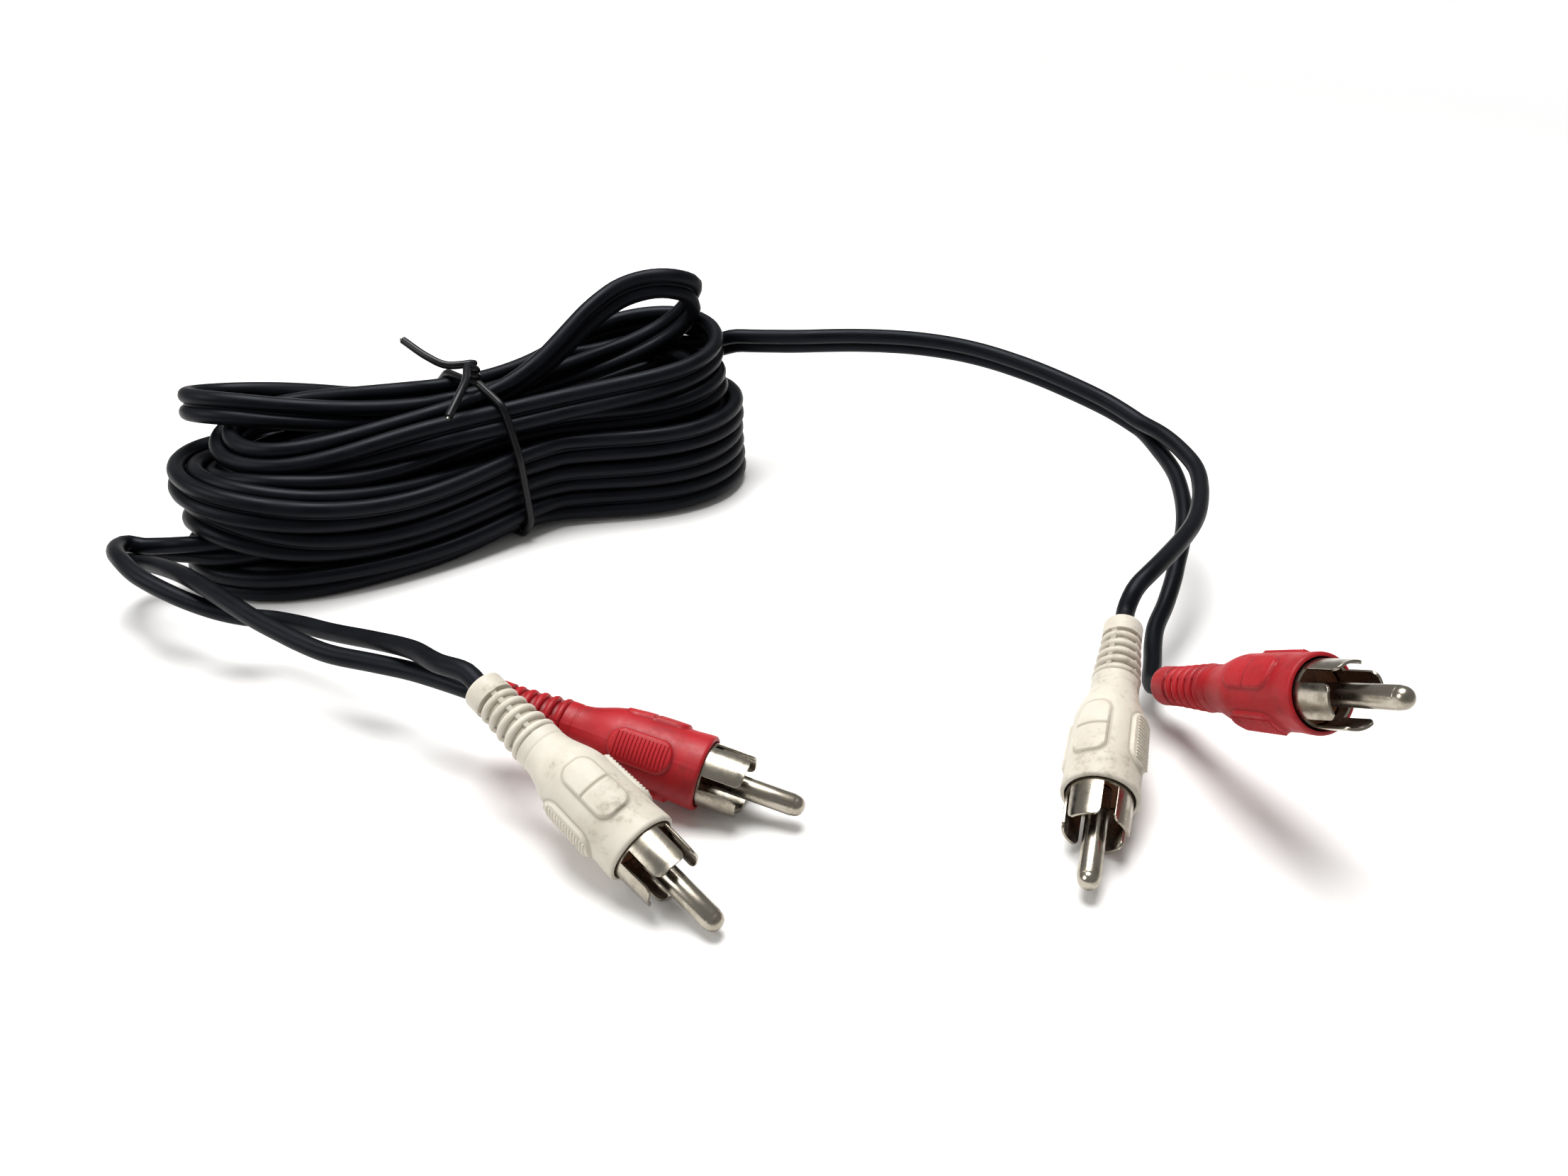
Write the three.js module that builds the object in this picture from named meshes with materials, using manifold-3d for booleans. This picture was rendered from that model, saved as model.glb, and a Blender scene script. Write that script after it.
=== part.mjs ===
// Stereo audio lead: a twin cable wound into a hank, with two plugs at each end
// Units are millimetres, +Z is up, and the part stands on z = 0.

import * as THREE from 'three';
import * as BufferGeometryUtils from 'three/addons/utils/BufferGeometryUtils.js';
import Module from 'manifold-3d';

const wasm = await Module();
wasm.setup();

// Clearances
const SEAT_GAP = 0.3; // between two pieces that touch on the real lead
const FLOOR_GAP = 0.1; // under a plug that only just touches the floor

// Plug, measured along its axis from the front face of the boot
const BOOT_LENGTH = 34.3;
const BOOT_FRONT_RADIUS = 5.55;
const BOOT_SHOULDER_RADIUS = 5.15;
const BOOT_EDGE_ROUND = 0.45;
const BOOT_WALL = 1.1;
const BARREL_LENGTH = 14.8;
const CONE_LENGTH = 5.4;
const SHOULDER_ROUND = 1.2;
const NECK_RADIUS = 3.55;
const NECK_STEP = 0.08;
const COLLAR_LENGTH = 3;
const COLLAR_RADIUS = 3.05;
const RING_COUNT = 5;
const RING_PITCH = 1.87;
const GROOVE_WIDTH = 0.55;
const GROOVE_DEPTH = 0.5;
const RING_ROUND = 0.2;
const WEB_WIDTH = 0.9;

// Grip pads on the boot
const PAD_LENGTH = 9.6;
const PAD_WIDTH = 5;
const PAD_CORNER = 1.8;
const PAD_PROUD = 0.45;
const PAD_FROM_FRONT = 4.3;
const RIB_COUNT = 13;
const RIB_DEPTH = 0.22;
const PAD_LINE_WIDTH = 0.35;
const PAD_LINE_FROM_FRONT = 9.3;

// Metal parts and insulator
const PIN_RADIUS = 1.6;
const PIN_REACH = 14.9;
const PIN_NECK_RADIUS = 1.1;
const SHELL_RADIUS = 4.65;
const SHELL_SHEET = 0.4;
const SHELL_REACH = 6;
const SHELL_DEPTH = 9;
const SHELL_HOLE_RADIUS = 2.7;
const PETAL_COUNT = 4;
const SLOT_WIDTH = 2.1;
const PETAL_CORNER = 1.1;
const INSULATOR_RECESS = 1.5;
const TAB_LENGTH = 4.6;
const TAB_WIDTH = 2.2;
const CUP_LENGTH = 4;
const CUP_WALL = 0.5;

// Cable
const LEAD_DIAMETER = 3;
const CORE_RADIUS = 0.7;
const CONDUCTOR_RADIUS = 0.45;
const CONDUCTOR_BARE = 4;
const SHIELD_RADIUS = 0.4;
const LEAD_STRAIGHT = 3.6; // how far a lead runs straight behind its plug

// Hank, with its long axis turned from X
const HANK_LENGTH = 110;
const HANK_DEPTH = 37;
const HANK_WAIST = 28;
const HANK_HEIGHT = 30;
const HANK_EDGE = 7;
const HANK_YAW = 22;

// Wire tie round the waist of the hank
const TIE_DIAMETER = 1.4;
const TIE_OFFSET = 1.5;
const TIE_TURN = 27;
const TIE_SINK = 2;
const TIE_TWISTS = 1.25;
const TIE_KNOT_HEIGHT = 3.4;
const TIE_KNOT_ACROSS = -1.2;
const TIE_OPENING = 0.035; // share of the turn left open on each side of the knot

// Where each plug lies: its end of the hank (-1 left, 1 right), the middle of the boot's front face
// in plan from that end, how it points in degrees, and how far it is held above the floor
const PLUGS = [
  { name: 'left_white', end: -1, front: [92.8, -78.6], yaw: -42, pitch: -17, roll: 14, lift: 0 },
  { name: 'left_red', end: -1, front: [100.4, -62.6], yaw: -18.5, pitch: -9, roll: 20, lift: 0 },
  { name: 'right_white', end: 1, front: [53.5, -109.1], yaw: -106.4, pitch: -12, roll: 30, lift: 0 },
  { name: 'right_red', end: 1, front: [79.7, -110.5], yaw: -68.2, pitch: 33, roll: 0, lift: 4 },
];

// Cord routes, chosen by hand from the photograph. Each is measured in plan from its own end of
// the hank. Its heights are from the floor, or from the hank's top for the right twin and the loop.
const LEFT_TWIN_ROUTE = [[2.1, -6.4, 9.1], [0.1, -6.6, 9.3], [-1.9, -6.8, 9.5]];
const LEFT_WHITE_ROUTE = [
  [-2.6, -7.1, 11.1], [-4, -8.4, 11.6], [-4.3, -10.9, 12.4], [-3.1, -14.2, 13.2], [-0.2, -18, 13.6],
  [3.8, -21.7, 13.1], [8.8, -24.2, 11.9], [13.4, -25.8, 10.7], [18.3, -27.1, 9.7], [22.9, -27.7, 9],
  [27.6, -28, 8.7], [33, -30.2, 9.2], [39.4, -34, 10.3], [48.4, -39.8, 12.7], [55.8, -45.7, 15.2],
  [61.2, -51.5, 16.9],
];
const LEFT_RED_ROUTE = [
  [-2.7, -7, 7.8], [-4.1, -7.7, 8], [-4.1, -9.8, 8.8], [-1.8, -12.2, 9.8], [3, -15, 11.2],
  [9.6, -20.2, 13], [15, -24.7, 13.8], [20.1, -28.8, 13.8], [24.2, -31.9, 13.5], [28.1, -34.7, 13.1],
  [32.6, -37.4, 12.6], [36.6, -39.6, 12.1], [41.3, -41.7, 11.6], [49, -43.9, 11.4], [55.3, -46, 11.4],
];
const RIGHT_TWIN_ROUTE = [
  [-5.2, 10.3, -5.1], [-1.5, 9.7, -3.9], [3.9, 8.8, -3.5], [11.3, 8.2, -3.3], [25.3, 8.6, -3.2],
  [37.5, 7.9, -3.6], [48.4, 5.6, -4.6], [58.6, 0.5, -6], [67.5, -5.3, -7.8], [74.5, -10.6, -9.6],
  [78.8, -16, -10.8],
];
const RIGHT_WHITE_ROUTE = [
  [79.3, -16.8, 20.7], [81.5, -22.6, 20.4], [83.7, -28.6, 19.9], [84.8, -34.3, 19.3], [84, -40.6, 18.8],
  [82, -47.4, 18.6], [79.6, -53, 18.5], [76, -58.8, 18.4], [71.6, -64.7, 18.2], [68.4, -68.3, 17.6],
  [66.1, -70.5, 16.6], [64.7, -72.4, 15.4],
];
const RIGHT_RED_ROUTE = [
  [79.3, -16.8, 17.6], [81.4, -22.2, 16.9], [82.6, -29.4, 16], [82.4, -36.3, 15], [81.4, -42.9, 13.7],
  [79.7, -48.7, 12.2], [78, -53.1, 10.6], [76.7, -56.5, 9.4], [74.2, -61.9, 7.4], [71.6, -66.8, 6.2],
  [70.4, -70.4, 5.4], [69.4, -74.6, 4.8],
];
const RAISED_LOOP_ROUTE = [
  [-40.4, -23.6, 3.4], [-33.5, -12.9, 5], [-28.4, -5, 8.6], [-22.1, -0.2, 12], [-15, 0.8, 13.4],
  [-10, 3.4, 11.6], [-8, 6, 7.4], [-10, 5.4, 1.6],
];
// The tie's tails are measured from the middle of the hank and from its top
const TIE_TAIL_BACK = [[-2.2, -0.6, 3.4], [-6, 0.6, 4.6], [-10.9, 3.8, 6.5]];
const TIE_TAIL_FRONT = [[2.3, -5.6, 2.6], [1.8, -10.4, 1.4], [0.7, -14.6, -0.6]];

const BLACK_PVC = '#101216';
const WHITE_PVC = '#d8d2c6';
const RED_PVC = '#a82a30';
const NATURAL_PE = '#e6e2da';
const NICKEL = '#b9b3a6';
const PHENOLIC = '#6b3a1c';
const COPPER = '#b06a3c';
const TIE_PVC = '#16181c';

// How finely the shapes are cut
const LATHE_SEGMENTS = 20;
const FINE_SEGMENTS = 16;
const DOME_STEPS = 4;
const LEAD_SIDES = 8;
const WIRE_SIDES = 6;
const SHIELD_STEPS = 12;
const TIE_STEPS = 110;
const BAND_POINTS = 40;

// Meshes and solids

function toSolid(geometry) {
  const bare = geometry.clone();
  bare.deleteAttribute('normal');
  bare.deleteAttribute('uv');
  const merged = BufferGeometryUtils.mergeVertices(bare, 1e-5);
  const vertProperties = new Float32Array(merged.attributes.position.array);
  const triVerts = new Uint32Array(merged.index.array);
  return new wasm.Manifold(new wasm.Mesh({ numProp: 3, vertProperties, triVerts }));
}

function toGeometry(solid) {
  const mesh = solid.getMesh();
  const geometry = new THREE.BufferGeometry();
  geometry.setAttribute('position', new THREE.BufferAttribute(mesh.vertProperties, 3));
  geometry.setIndex(new THREE.BufferAttribute(mesh.triVerts, 1));
  geometry.computeVertexNormals();
  return geometry;
}

function piece(name, geometry, color, roughness, metalness = 0) {
  const material = new THREE.MeshStandardMaterial({ color, roughness, metalness });
  const mesh = new THREE.Mesh(geometry, material);
  mesh.name = name;
  return mesh;
}

// A turned shape from [radius, height] pairs that run up the outside and down the inside
function turned(pairs, segments = LATHE_SEGMENTS) {
  const points = pairs.map(([radius, y]) => new THREE.Vector2(Math.max(radius, 0), y));
  return new THREE.LatheGeometry(points, segments);
}

function closedTurned(pairs, segments) {
  return turned([...pairs, pairs[0]], segments);
}

// The boot

const RINGS_END = -BOOT_LENGTH + COLLAR_LENGTH + RING_COUNT * RING_PITCH;
const CONE_END = -BARREL_LENGTH;
const CONE_START = CONE_END - CONE_LENGTH;
const LEAD_HOLE_RADIUS = LEAD_DIAMETER / 2 + SEAT_GAP;
const BORE_RADIUS = CORE_RADIUS + 2 * SHIELD_RADIUS + 2 * SEAT_GAP;
const SOCKET_RADIUS = SHELL_RADIUS + SEAT_GAP;
const CAVITY_RADIUS = BOOT_SHOULDER_RADIUS - BOOT_WALL;

function ringRadius(y) {
  const share = (y + BOOT_LENGTH) / (RINGS_END + BOOT_LENGTH);
  return THREE.MathUtils.lerp(COLLAR_RADIUS, NECK_RADIUS - NECK_STEP, THREE.MathUtils.clamp(share, 0, 1));
}

function barrelRadius(y) {
  return THREE.MathUtils.lerp(BOOT_FRONT_RADIUS, BOOT_SHOULDER_RADIUS, Math.min(-y / BARREL_LENGTH, 1));
}

function ringProfile() {
  const pairs = [];
  for (let i = 0; i < RING_COUNT; i++) {
    const start = -BOOT_LENGTH + COLLAR_LENGTH + i * RING_PITCH;
    const floor = ringRadius(start) - GROOVE_DEPTH;
    pairs.push([ringRadius(start) - RING_ROUND / 2, start - RING_ROUND / 2]);
    pairs.push([floor, start]);
    pairs.push([floor, start + GROOVE_WIDTH]);
    pairs.push([ringRadius(start) - RING_ROUND / 2, start + GROOVE_WIDTH + RING_ROUND / 2]);
  }
  return pairs;
}

function bootOutside() {
  const shoulder = barrelRadius(CONE_END);
  return [
    [LEAD_HOLE_RADIUS, -BOOT_LENGTH],
    [COLLAR_RADIUS - BOOT_EDGE_ROUND, -BOOT_LENGTH],
    [COLLAR_RADIUS, -BOOT_LENGTH + BOOT_EDGE_ROUND],
    ...ringProfile(),
    [NECK_RADIUS - NECK_STEP, CONE_START - NECK_STEP],
    [NECK_RADIUS, CONE_START],
    [shoulder - SHOULDER_ROUND / 3, CONE_END - SHOULDER_ROUND],
    [shoulder, CONE_END],
    [barrelRadius(-BOOT_EDGE_ROUND * 2), -BOOT_EDGE_ROUND * 2],
    [BOOT_FRONT_RADIUS - BOOT_EDGE_ROUND * 0.3, -BOOT_EDGE_ROUND * 0.3],
    [BOOT_FRONT_RADIUS - BOOT_EDGE_ROUND, 0],
  ];
}

function bootInside() {
  const holeEnd = -BOOT_LENGTH + COLLAR_LENGTH;
  const cavityStart = CONE_START + BOOT_WALL;
  return [
    [SOCKET_RADIUS, 0],
    [SOCKET_RADIUS, -SHELL_DEPTH - SEAT_GAP],
    [CAVITY_RADIUS, -SHELL_DEPTH - SEAT_GAP],
    [CAVITY_RADIUS, CONE_END],
    [BORE_RADIUS, cavityStart],
    [BORE_RADIUS, holeEnd],
    [LEAD_HOLE_RADIUS, holeEnd],
  ];
}

function padShape() {
  const half = PAD_WIDTH / 2;
  const rear = -PAD_FROM_FRONT - PAD_LENGTH;
  const front = -PAD_FROM_FRONT;
  const shape = new THREE.Shape();
  shape.absarc(half - PAD_CORNER, front - PAD_CORNER, PAD_CORNER, 0, Math.PI / 2);
  shape.absarc(-half + PAD_CORNER, front - PAD_CORNER, PAD_CORNER, Math.PI / 2, Math.PI);
  shape.absarc(-half + PAD_CORNER, rear + PAD_CORNER, PAD_CORNER, Math.PI, 1.5 * Math.PI);
  shape.absarc(half - PAD_CORNER, rear + PAD_CORNER, PAD_CORNER, 1.5 * Math.PI, 2 * Math.PI);
  return shape;
}

// The turned shape that bounds a pad: ribbed, or plain with one line across it
function padEnvelope(ribbed) {
  const rear = -PAD_FROM_FRONT - PAD_LENGTH;
  const height = (y) => barrelRadius(y) + PAD_PROUD;
  const pairs = [[0, rear - 1], [height(rear), rear - 1]];
  if (ribbed) {
    const pitch = PAD_LENGTH / (RIB_COUNT + 1);
    for (let i = 1; i <= RIB_COUNT; i++) {
      const y = rear + i * pitch;
      pairs.push([height(y) - RIB_DEPTH, y - pitch / 2]);
      pairs.push([height(y), y]);
    }
  } else {
    const y = -PAD_LINE_FROM_FRONT;
    pairs.push([height(y), y - PAD_LINE_WIDTH]);
    pairs.push([height(y) - RIB_DEPTH, y]);
    pairs.push([height(y), y + PAD_LINE_WIDTH]);
  }
  pairs.push([height(0), 1], [0, 1]);
  return toSolid(turned(pairs));
}

function padSolid(angle, ribbed) {
  const geometry = new THREE.ExtrudeGeometry(padShape(), {
    depth: BOOT_FRONT_RADIUS,
    bevelEnabled: false,
    curveSegments: 3,
  });
  geometry.translate(0, 0, CAVITY_RADIUS + SEAT_GAP);
  geometry.rotateY(angle);
  return toSolid(geometry).intersect(padEnvelope(ribbed));
}

// A narrow bridge of plastic that crosses every groove on one side
function webSolid(angle) {
  const length = RING_COUNT * RING_PITCH;
  const inner = COLLAR_RADIUS - GROOVE_DEPTH - RING_ROUND;
  const outer = COLLAR_RADIUS - RING_ROUND;
  const geometry = new THREE.BoxGeometry(WEB_WIDTH, length, outer - inner);
  geometry.translate(0, RINGS_END - length / 2, (inner + outer) / 2);
  geometry.rotateY(angle);
  return toSolid(geometry);
}

function bootGeometry() {
  let body = toSolid(closedTurned([...bootOutside(), ...bootInside()]));
  for (const side of [0, Math.PI]) {
    body = body.add(webSolid(side));
    body = body.add(padSolid(side, false));
    body = body.add(padSolid(side + Math.PI / 2, true));
  }
  const back = -SHELL_DEPTH - SEAT_GAP;
  const socket = turned([[0, back], [SOCKET_RADIUS, back], [SOCKET_RADIUS, 1], [0, 1]]);
  return toGeometry(body.subtract(toSolid(socket)));
}

// The ground shell

function slotSolid(angle) {
  const half = SLOT_WIDTH / 2;
  const shape = new THREE.Shape();
  shape.moveTo(-half, SEAT_GAP);
  shape.lineTo(half, SEAT_GAP);
  shape.lineTo(half, SHELL_REACH - PETAL_CORNER);
  shape.quadraticCurveTo(half, SHELL_REACH, half + PETAL_CORNER, SHELL_REACH);
  shape.lineTo(half + PETAL_CORNER, SHELL_REACH + 1);
  shape.lineTo(-half - PETAL_CORNER, SHELL_REACH + 1);
  shape.lineTo(-half - PETAL_CORNER, SHELL_REACH);
  shape.quadraticCurveTo(-half, SHELL_REACH, -half, SHELL_REACH - PETAL_CORNER);
  const geometry = new THREE.ExtrudeGeometry(shape, {
    depth: SHELL_RADIUS + 1,
    bevelEnabled: false,
    curveSegments: 4,
  });
  geometry.rotateY(angle);
  return toSolid(geometry);
}

function tabSolid() {
  const geometry = new THREE.BoxGeometry(TAB_WIDTH, TAB_LENGTH, SHELL_SHEET);
  const inner = SHELL_HOLE_RADIUS;
  geometry.translate(0, -SHELL_DEPTH + SHELL_SHEET / 2 - TAB_LENGTH / 2, inner + SHELL_SHEET / 2);
  return toSolid(geometry);
}

function shellGeometry() {
  const inside = SHELL_RADIUS - SHELL_SHEET;
  let shell = toSolid(closedTurned([
    [SHELL_HOLE_RADIUS, -SHELL_DEPTH],
    [SHELL_RADIUS, -SHELL_DEPTH],
    [SHELL_RADIUS, SHELL_REACH],
    [inside, SHELL_REACH],
    [inside, -SHELL_DEPTH + SHELL_SHEET],
    [SHELL_HOLE_RADIUS, -SHELL_DEPTH + SHELL_SHEET],
  ], 2 * FINE_SEGMENTS));
  for (let i = 0; i < PETAL_COUNT; i++) {
    shell = shell.subtract(slotSolid(((i + 0.5) * 2 * Math.PI) / PETAL_COUNT));
  }
  return toGeometry(shell.add(tabSolid()));
}

// The insulator, centre pin and wires inside

const INSULATOR_BACK = -SHELL_DEPTH + SHELL_SHEET + SEAT_GAP;
const INSULATOR_BOSS_BACK = -SHELL_DEPTH - SHELL_SHEET;
const CUP_FRONT = INSULATOR_BOSS_BACK - SEAT_GAP;
const CUP_BACK = CUP_FRONT - CUP_LENGTH;
const CUP_BORE = CONDUCTOR_RADIUS + SEAT_GAP;

function insulatorGeometry() {
  const outer = SHELL_RADIUS - SHELL_SHEET - SEAT_GAP;
  const boss = SHELL_HOLE_RADIUS - SEAT_GAP;
  const hole = PIN_NECK_RADIUS + SEAT_GAP;
  return closedTurned([
    [hole, INSULATOR_BOSS_BACK],
    [boss, INSULATOR_BOSS_BACK],
    [boss, INSULATOR_BACK],
    [outer, INSULATOR_BACK],
    [outer, -INSULATOR_RECESS],
    [hole, -INSULATOR_RECESS],
  ], FINE_SEGMENTS);
}

function pinGeometry() {
  const dome = [];
  for (let i = 0; i <= DOME_STEPS; i++) {
    const angle = (i / DOME_STEPS) * (Math.PI / 2);
    const y = PIN_REACH - PIN_RADIUS + PIN_RADIUS * Math.sin(angle);
    dome.push([i === DOME_STEPS ? 0 : PIN_RADIUS * Math.cos(angle), y]);
  }
  return turned([
    [0, CUP_FRONT - CUP_WALL],
    [CUP_BORE, CUP_FRONT - CUP_WALL],
    [CUP_BORE, CUP_BACK],
    [CUP_BORE + CUP_WALL, CUP_BACK],
    [CUP_BORE + CUP_WALL, CUP_FRONT],
    [PIN_NECK_RADIUS, CUP_FRONT],
    [PIN_NECK_RADIUS, -INSULATOR_RECESS + SEAT_GAP],
    [PIN_RADIUS, -INSULATOR_RECESS + SEAT_GAP],
    ...dome,
  ], FINE_SEGMENTS);
}

function coreGeometry() {
  const bareEnd = CUP_FRONT - CUP_WALL - SEAT_GAP;
  return turned([
    [0, -BOOT_LENGTH],
    [CORE_RADIUS, -BOOT_LENGTH],
    [CORE_RADIUS, bareEnd - CONDUCTOR_BARE],
    [CONDUCTOR_RADIUS, bareEnd - CONDUCTOR_BARE],
    [CONDUCTOR_RADIUS, bareEnd],
    [0, bareEnd],
  ], LEAD_SIDES);
}

function circleShape(radius, sides) {
  const shape = new THREE.Shape();
  for (let i = 0; i < sides; i++) {
    const angle = ((i + 0.5) * 2 * Math.PI) / sides;
    const point = [radius * Math.cos(angle), radius * Math.sin(angle)];
    if (i === 0) shape.moveTo(...point);
    else shape.lineTo(...point);
  }
  return shape;
}

function tube(points, shape, steps) {
  const places = points.map((p) => new THREE.Vector3(...p));
  const curve = new THREE.CatmullRomCurve3(places, false, 'centripetal');
  return new THREE.ExtrudeGeometry(shape, { steps, extrudePath: curve, bevelEnabled: false });
}

function shieldGeometry() {
  const low = CORE_RADIUS + SEAT_GAP + SHIELD_RADIUS;
  const high = SHELL_HOLE_RADIUS - SEAT_GAP - SHIELD_RADIUS;
  const tabEnd = -SHELL_DEPTH - TAB_LENGTH;
  const start = -BOOT_LENGTH + COLLAR_LENGTH + SEAT_GAP;
  const points = [
    [0, start, low],
    [0, CONE_START - SEAT_GAP, low],
    [0, CONE_START + BOOT_WALL + 2 * SEAT_GAP, low],
    [0, tabEnd - SHIELD_RADIUS, high],
    [0, tabEnd + TAB_LENGTH / 2, high],
  ];
  return tube(points, circleShape(SHIELD_RADIUS, WIRE_SIDES), SHIELD_STEPS);
}

// A point measured from one end of the hank (-1 left, 1 right), in the model's own plan
function fromEnd(end, [x, y, z], base = 0) {
  const yaw = THREE.MathUtils.degToRad(HANK_YAW);
  const reach = (end * HANK_LENGTH) / 2;
  return [reach * Math.cos(yaw) + x, reach * Math.sin(yaw) + y, base + z];
}

// One whole plug, standing along its own Y axis and then laid where it lies

function plugAxes(plug) {
  const yaw = THREE.MathUtils.degToRad(plug.yaw);
  const pitch = THREE.MathUtils.degToRad(plug.pitch);
  const axis = new THREE.Vector3(
    Math.cos(pitch) * Math.cos(yaw),
    Math.cos(pitch) * Math.sin(yaw),
    Math.sin(pitch),
  );
  const side = new THREE.Vector3(0, 0, 1).cross(axis).normalize();
  const up = new THREE.Vector3().crossVectors(axis, side);
  up.applyAxisAngle(axis, THREE.MathUtils.degToRad(plug.roll));
  return { axis, up, side: new THREE.Vector3().crossVectors(axis, up) };
}

// The front face's height, from whichever rim of the plug would meet the floor first
function frontPoint(plug) {
  const pitch = THREE.MathUtils.degToRad(plug.pitch);
  const below = (reach, radius) => radius * Math.cos(pitch) - reach * Math.sin(pitch);
  const drop = Math.max(
    below(SHELL_REACH, SHELL_RADIUS),
    below(PIN_REACH - PIN_RADIUS, PIN_RADIUS / Math.cos(pitch)),
    below(-BOOT_LENGTH, COLLAR_RADIUS),
  );
  return new THREE.Vector3(...fromEnd(plug.end, [...plug.front, drop + FLOOR_GAP + plug.lift]));
}

function plugGroup(plug) {
  const { axis, up, side } = plugAxes(plug);
  const group = new THREE.Group();
  group.quaternion.setFromRotationMatrix(new THREE.Matrix4().makeBasis(side, axis, up));
  group.position.copy(frontPoint(plug));
  group.add(
    piece(`${plug.name}_boot`, bootGeometry(), plug.name.endsWith('red') ? RED_PVC : WHITE_PVC, 0.55),
    piece(`${plug.name}_ground_shell`, shellGeometry(), NICKEL, 0.3, 1),
    piece(`${plug.name}_insulator`, insulatorGeometry(), PHENOLIC, 0.5),
    piece(`${plug.name}_centre_pin`, pinGeometry(), NICKEL, 0.28, 1),
    piece(`${plug.name}_core_wire`, coreGeometry(), NATURAL_PE, 0.5),
    piece(`${plug.name}_shield_tail`, shieldGeometry(), COPPER, 0.4, 1),
  );
  return group;
}

// The point behind a plug where its lead ends
function leadEntry(plug, distance) {
  const { axis } = plugAxes(plug);
  return frontPoint(plug).addScaledVector(axis, -BOOT_LENGTH - distance).toArray();
}

// The cable outside the hank

function leadPiece(name, route, plug) {
  const outside = route.map((p) => fromEnd(plug.end, p));
  const points = [...outside, leadEntry(plug, LEAD_STRAIGHT), leadEntry(plug, SEAT_GAP)];
  const section = circleShape(LEAD_DIAMETER / 2, LEAD_SIDES);
  return piece(name, tube(points, section, 2 * points.length), BLACK_PVC, 0.5);
}

// The twin cable's flat section, with its wide side along the first axis
function twinShape() {
  const shape = new THREE.Shape();
  const middle = LEAD_DIAMETER / 2;
  shape.absarc(middle, 0, middle, -Math.PI / 2, Math.PI / 2);
  shape.absarc(-middle, 0, middle, Math.PI / 2, 1.5 * Math.PI);
  return shape;
}

function twinPiece(name, end, route, base = 0) {
  const points = route.map((p) => new THREE.Vector3(...fromEnd(end, p, base)));
  const curve = new THREE.CatmullRomCurve3(points, false, 'centripetal');
  const steps = 3 * route.length;
  const options = { steps, extrudePath: curve, bevelEnabled: false, curveSegments: 2 };
  return piece(name, new THREE.ExtrudeGeometry(twinShape(), options), BLACK_PVC, 0.5);
}

// The hank, with a groove round its waist for the tie

function hankOutline() {
  const radius = HANK_DEPTH / 2;
  const straight = HANK_LENGTH / 2 - radius;
  const waist = HANK_WAIST / 2;
  const bulge = (radius + waist) / 2;
  const shape = new THREE.Shape();
  shape.absarc(straight, 0, radius, -Math.PI / 2, Math.PI / 2);
  shape.splineThru([
    new THREE.Vector2(straight / 2, bulge),
    new THREE.Vector2(TIE_OFFSET, waist),
    new THREE.Vector2(-straight / 2, bulge),
    new THREE.Vector2(-straight, radius),
  ]);
  shape.absarc(-straight, 0, radius, Math.PI / 2, 1.5 * Math.PI);
  shape.splineThru([
    new THREE.Vector2(-straight / 2, -bulge),
    new THREE.Vector2(TIE_OFFSET, -waist),
    new THREE.Vector2(straight / 2, -bulge),
    new THREE.Vector2(straight, -radius),
  ]);
  return shape;
}

function hankBlock() {
  return new THREE.ExtrudeGeometry(hankOutline(), {
    depth: HANK_HEIGHT - 2 * HANK_EDGE,
    bevelThickness: HANK_EDGE,
    bevelSize: HANK_EDGE,
    bevelOffset: -HANK_EDGE,
    bevelSegments: 3,
    curveSegments: 6,
  }).translate(0, 0, HANK_EDGE);
}

// A rounded rectangle standing across the hank, as a shape or as a path
function waistShape(inset) {
  const half = HANK_WAIST / 2 - inset;
  const low = inset;
  const high = HANK_HEIGHT - inset;
  const corner = HANK_EDGE - inset;
  const shape = new THREE.Shape();
  shape.absarc(half - corner, low + corner, corner, -Math.PI / 2, 0);
  shape.absarc(half - corner, high - corner, corner, 0, Math.PI / 2);
  shape.absarc(-half + corner, high - corner, corner, Math.PI / 2, Math.PI);
  shape.absarc(-half + corner, low + corner, corner, Math.PI, 1.5 * Math.PI);
  return shape;
}

// Turns a shape drawn across the hank into the plane of the tie
function tiePlane() {
  const upright = new THREE.Matrix4().makeBasis(
    new THREE.Vector3(0, 1, 0),
    new THREE.Vector3(0, 0, 1),
    new THREE.Vector3(1, 0, 0),
  );
  const turn = new THREE.Matrix4().makeRotationZ(THREE.MathUtils.degToRad(TIE_TURN));
  const move = new THREE.Matrix4().makeTranslation(TIE_OFFSET, 0, 0);
  return move.multiply(turn).multiply(upright);
}

function grooveSolid() {
  const width = TIE_DIAMETER + 2 * SEAT_GAP;
  const reach = HANK_HEIGHT + HANK_WAIST;
  const outer = new THREE.Shape();
  outer.moveTo(-reach, -reach);
  outer.lineTo(reach, -reach);
  outer.lineTo(reach, reach);
  outer.lineTo(-reach, reach);
  outer.holes.push(new THREE.Path(waistShape(TIE_SINK).getPoints(4)));
  const geometry = new THREE.ExtrudeGeometry(outer, { depth: width, bevelEnabled: false });
  geometry.translate(0, 0, -width / 2);
  geometry.applyMatrix4(tiePlane());
  return toSolid(geometry);
}

function hankGeometry() {
  return toGeometry(toSolid(hankBlock()).subtract(grooveSolid()));
}

// The tie: a tail, a twist, once round the waist, the twist again and the other tail

function knotPoint() {
  const height = HANK_HEIGHT + SEAT_GAP + TIE_DIAMETER / 2;
  return new THREE.Vector3(TIE_KNOT_ACROSS, height, 0).applyMatrix4(tiePlane());
}

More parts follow.
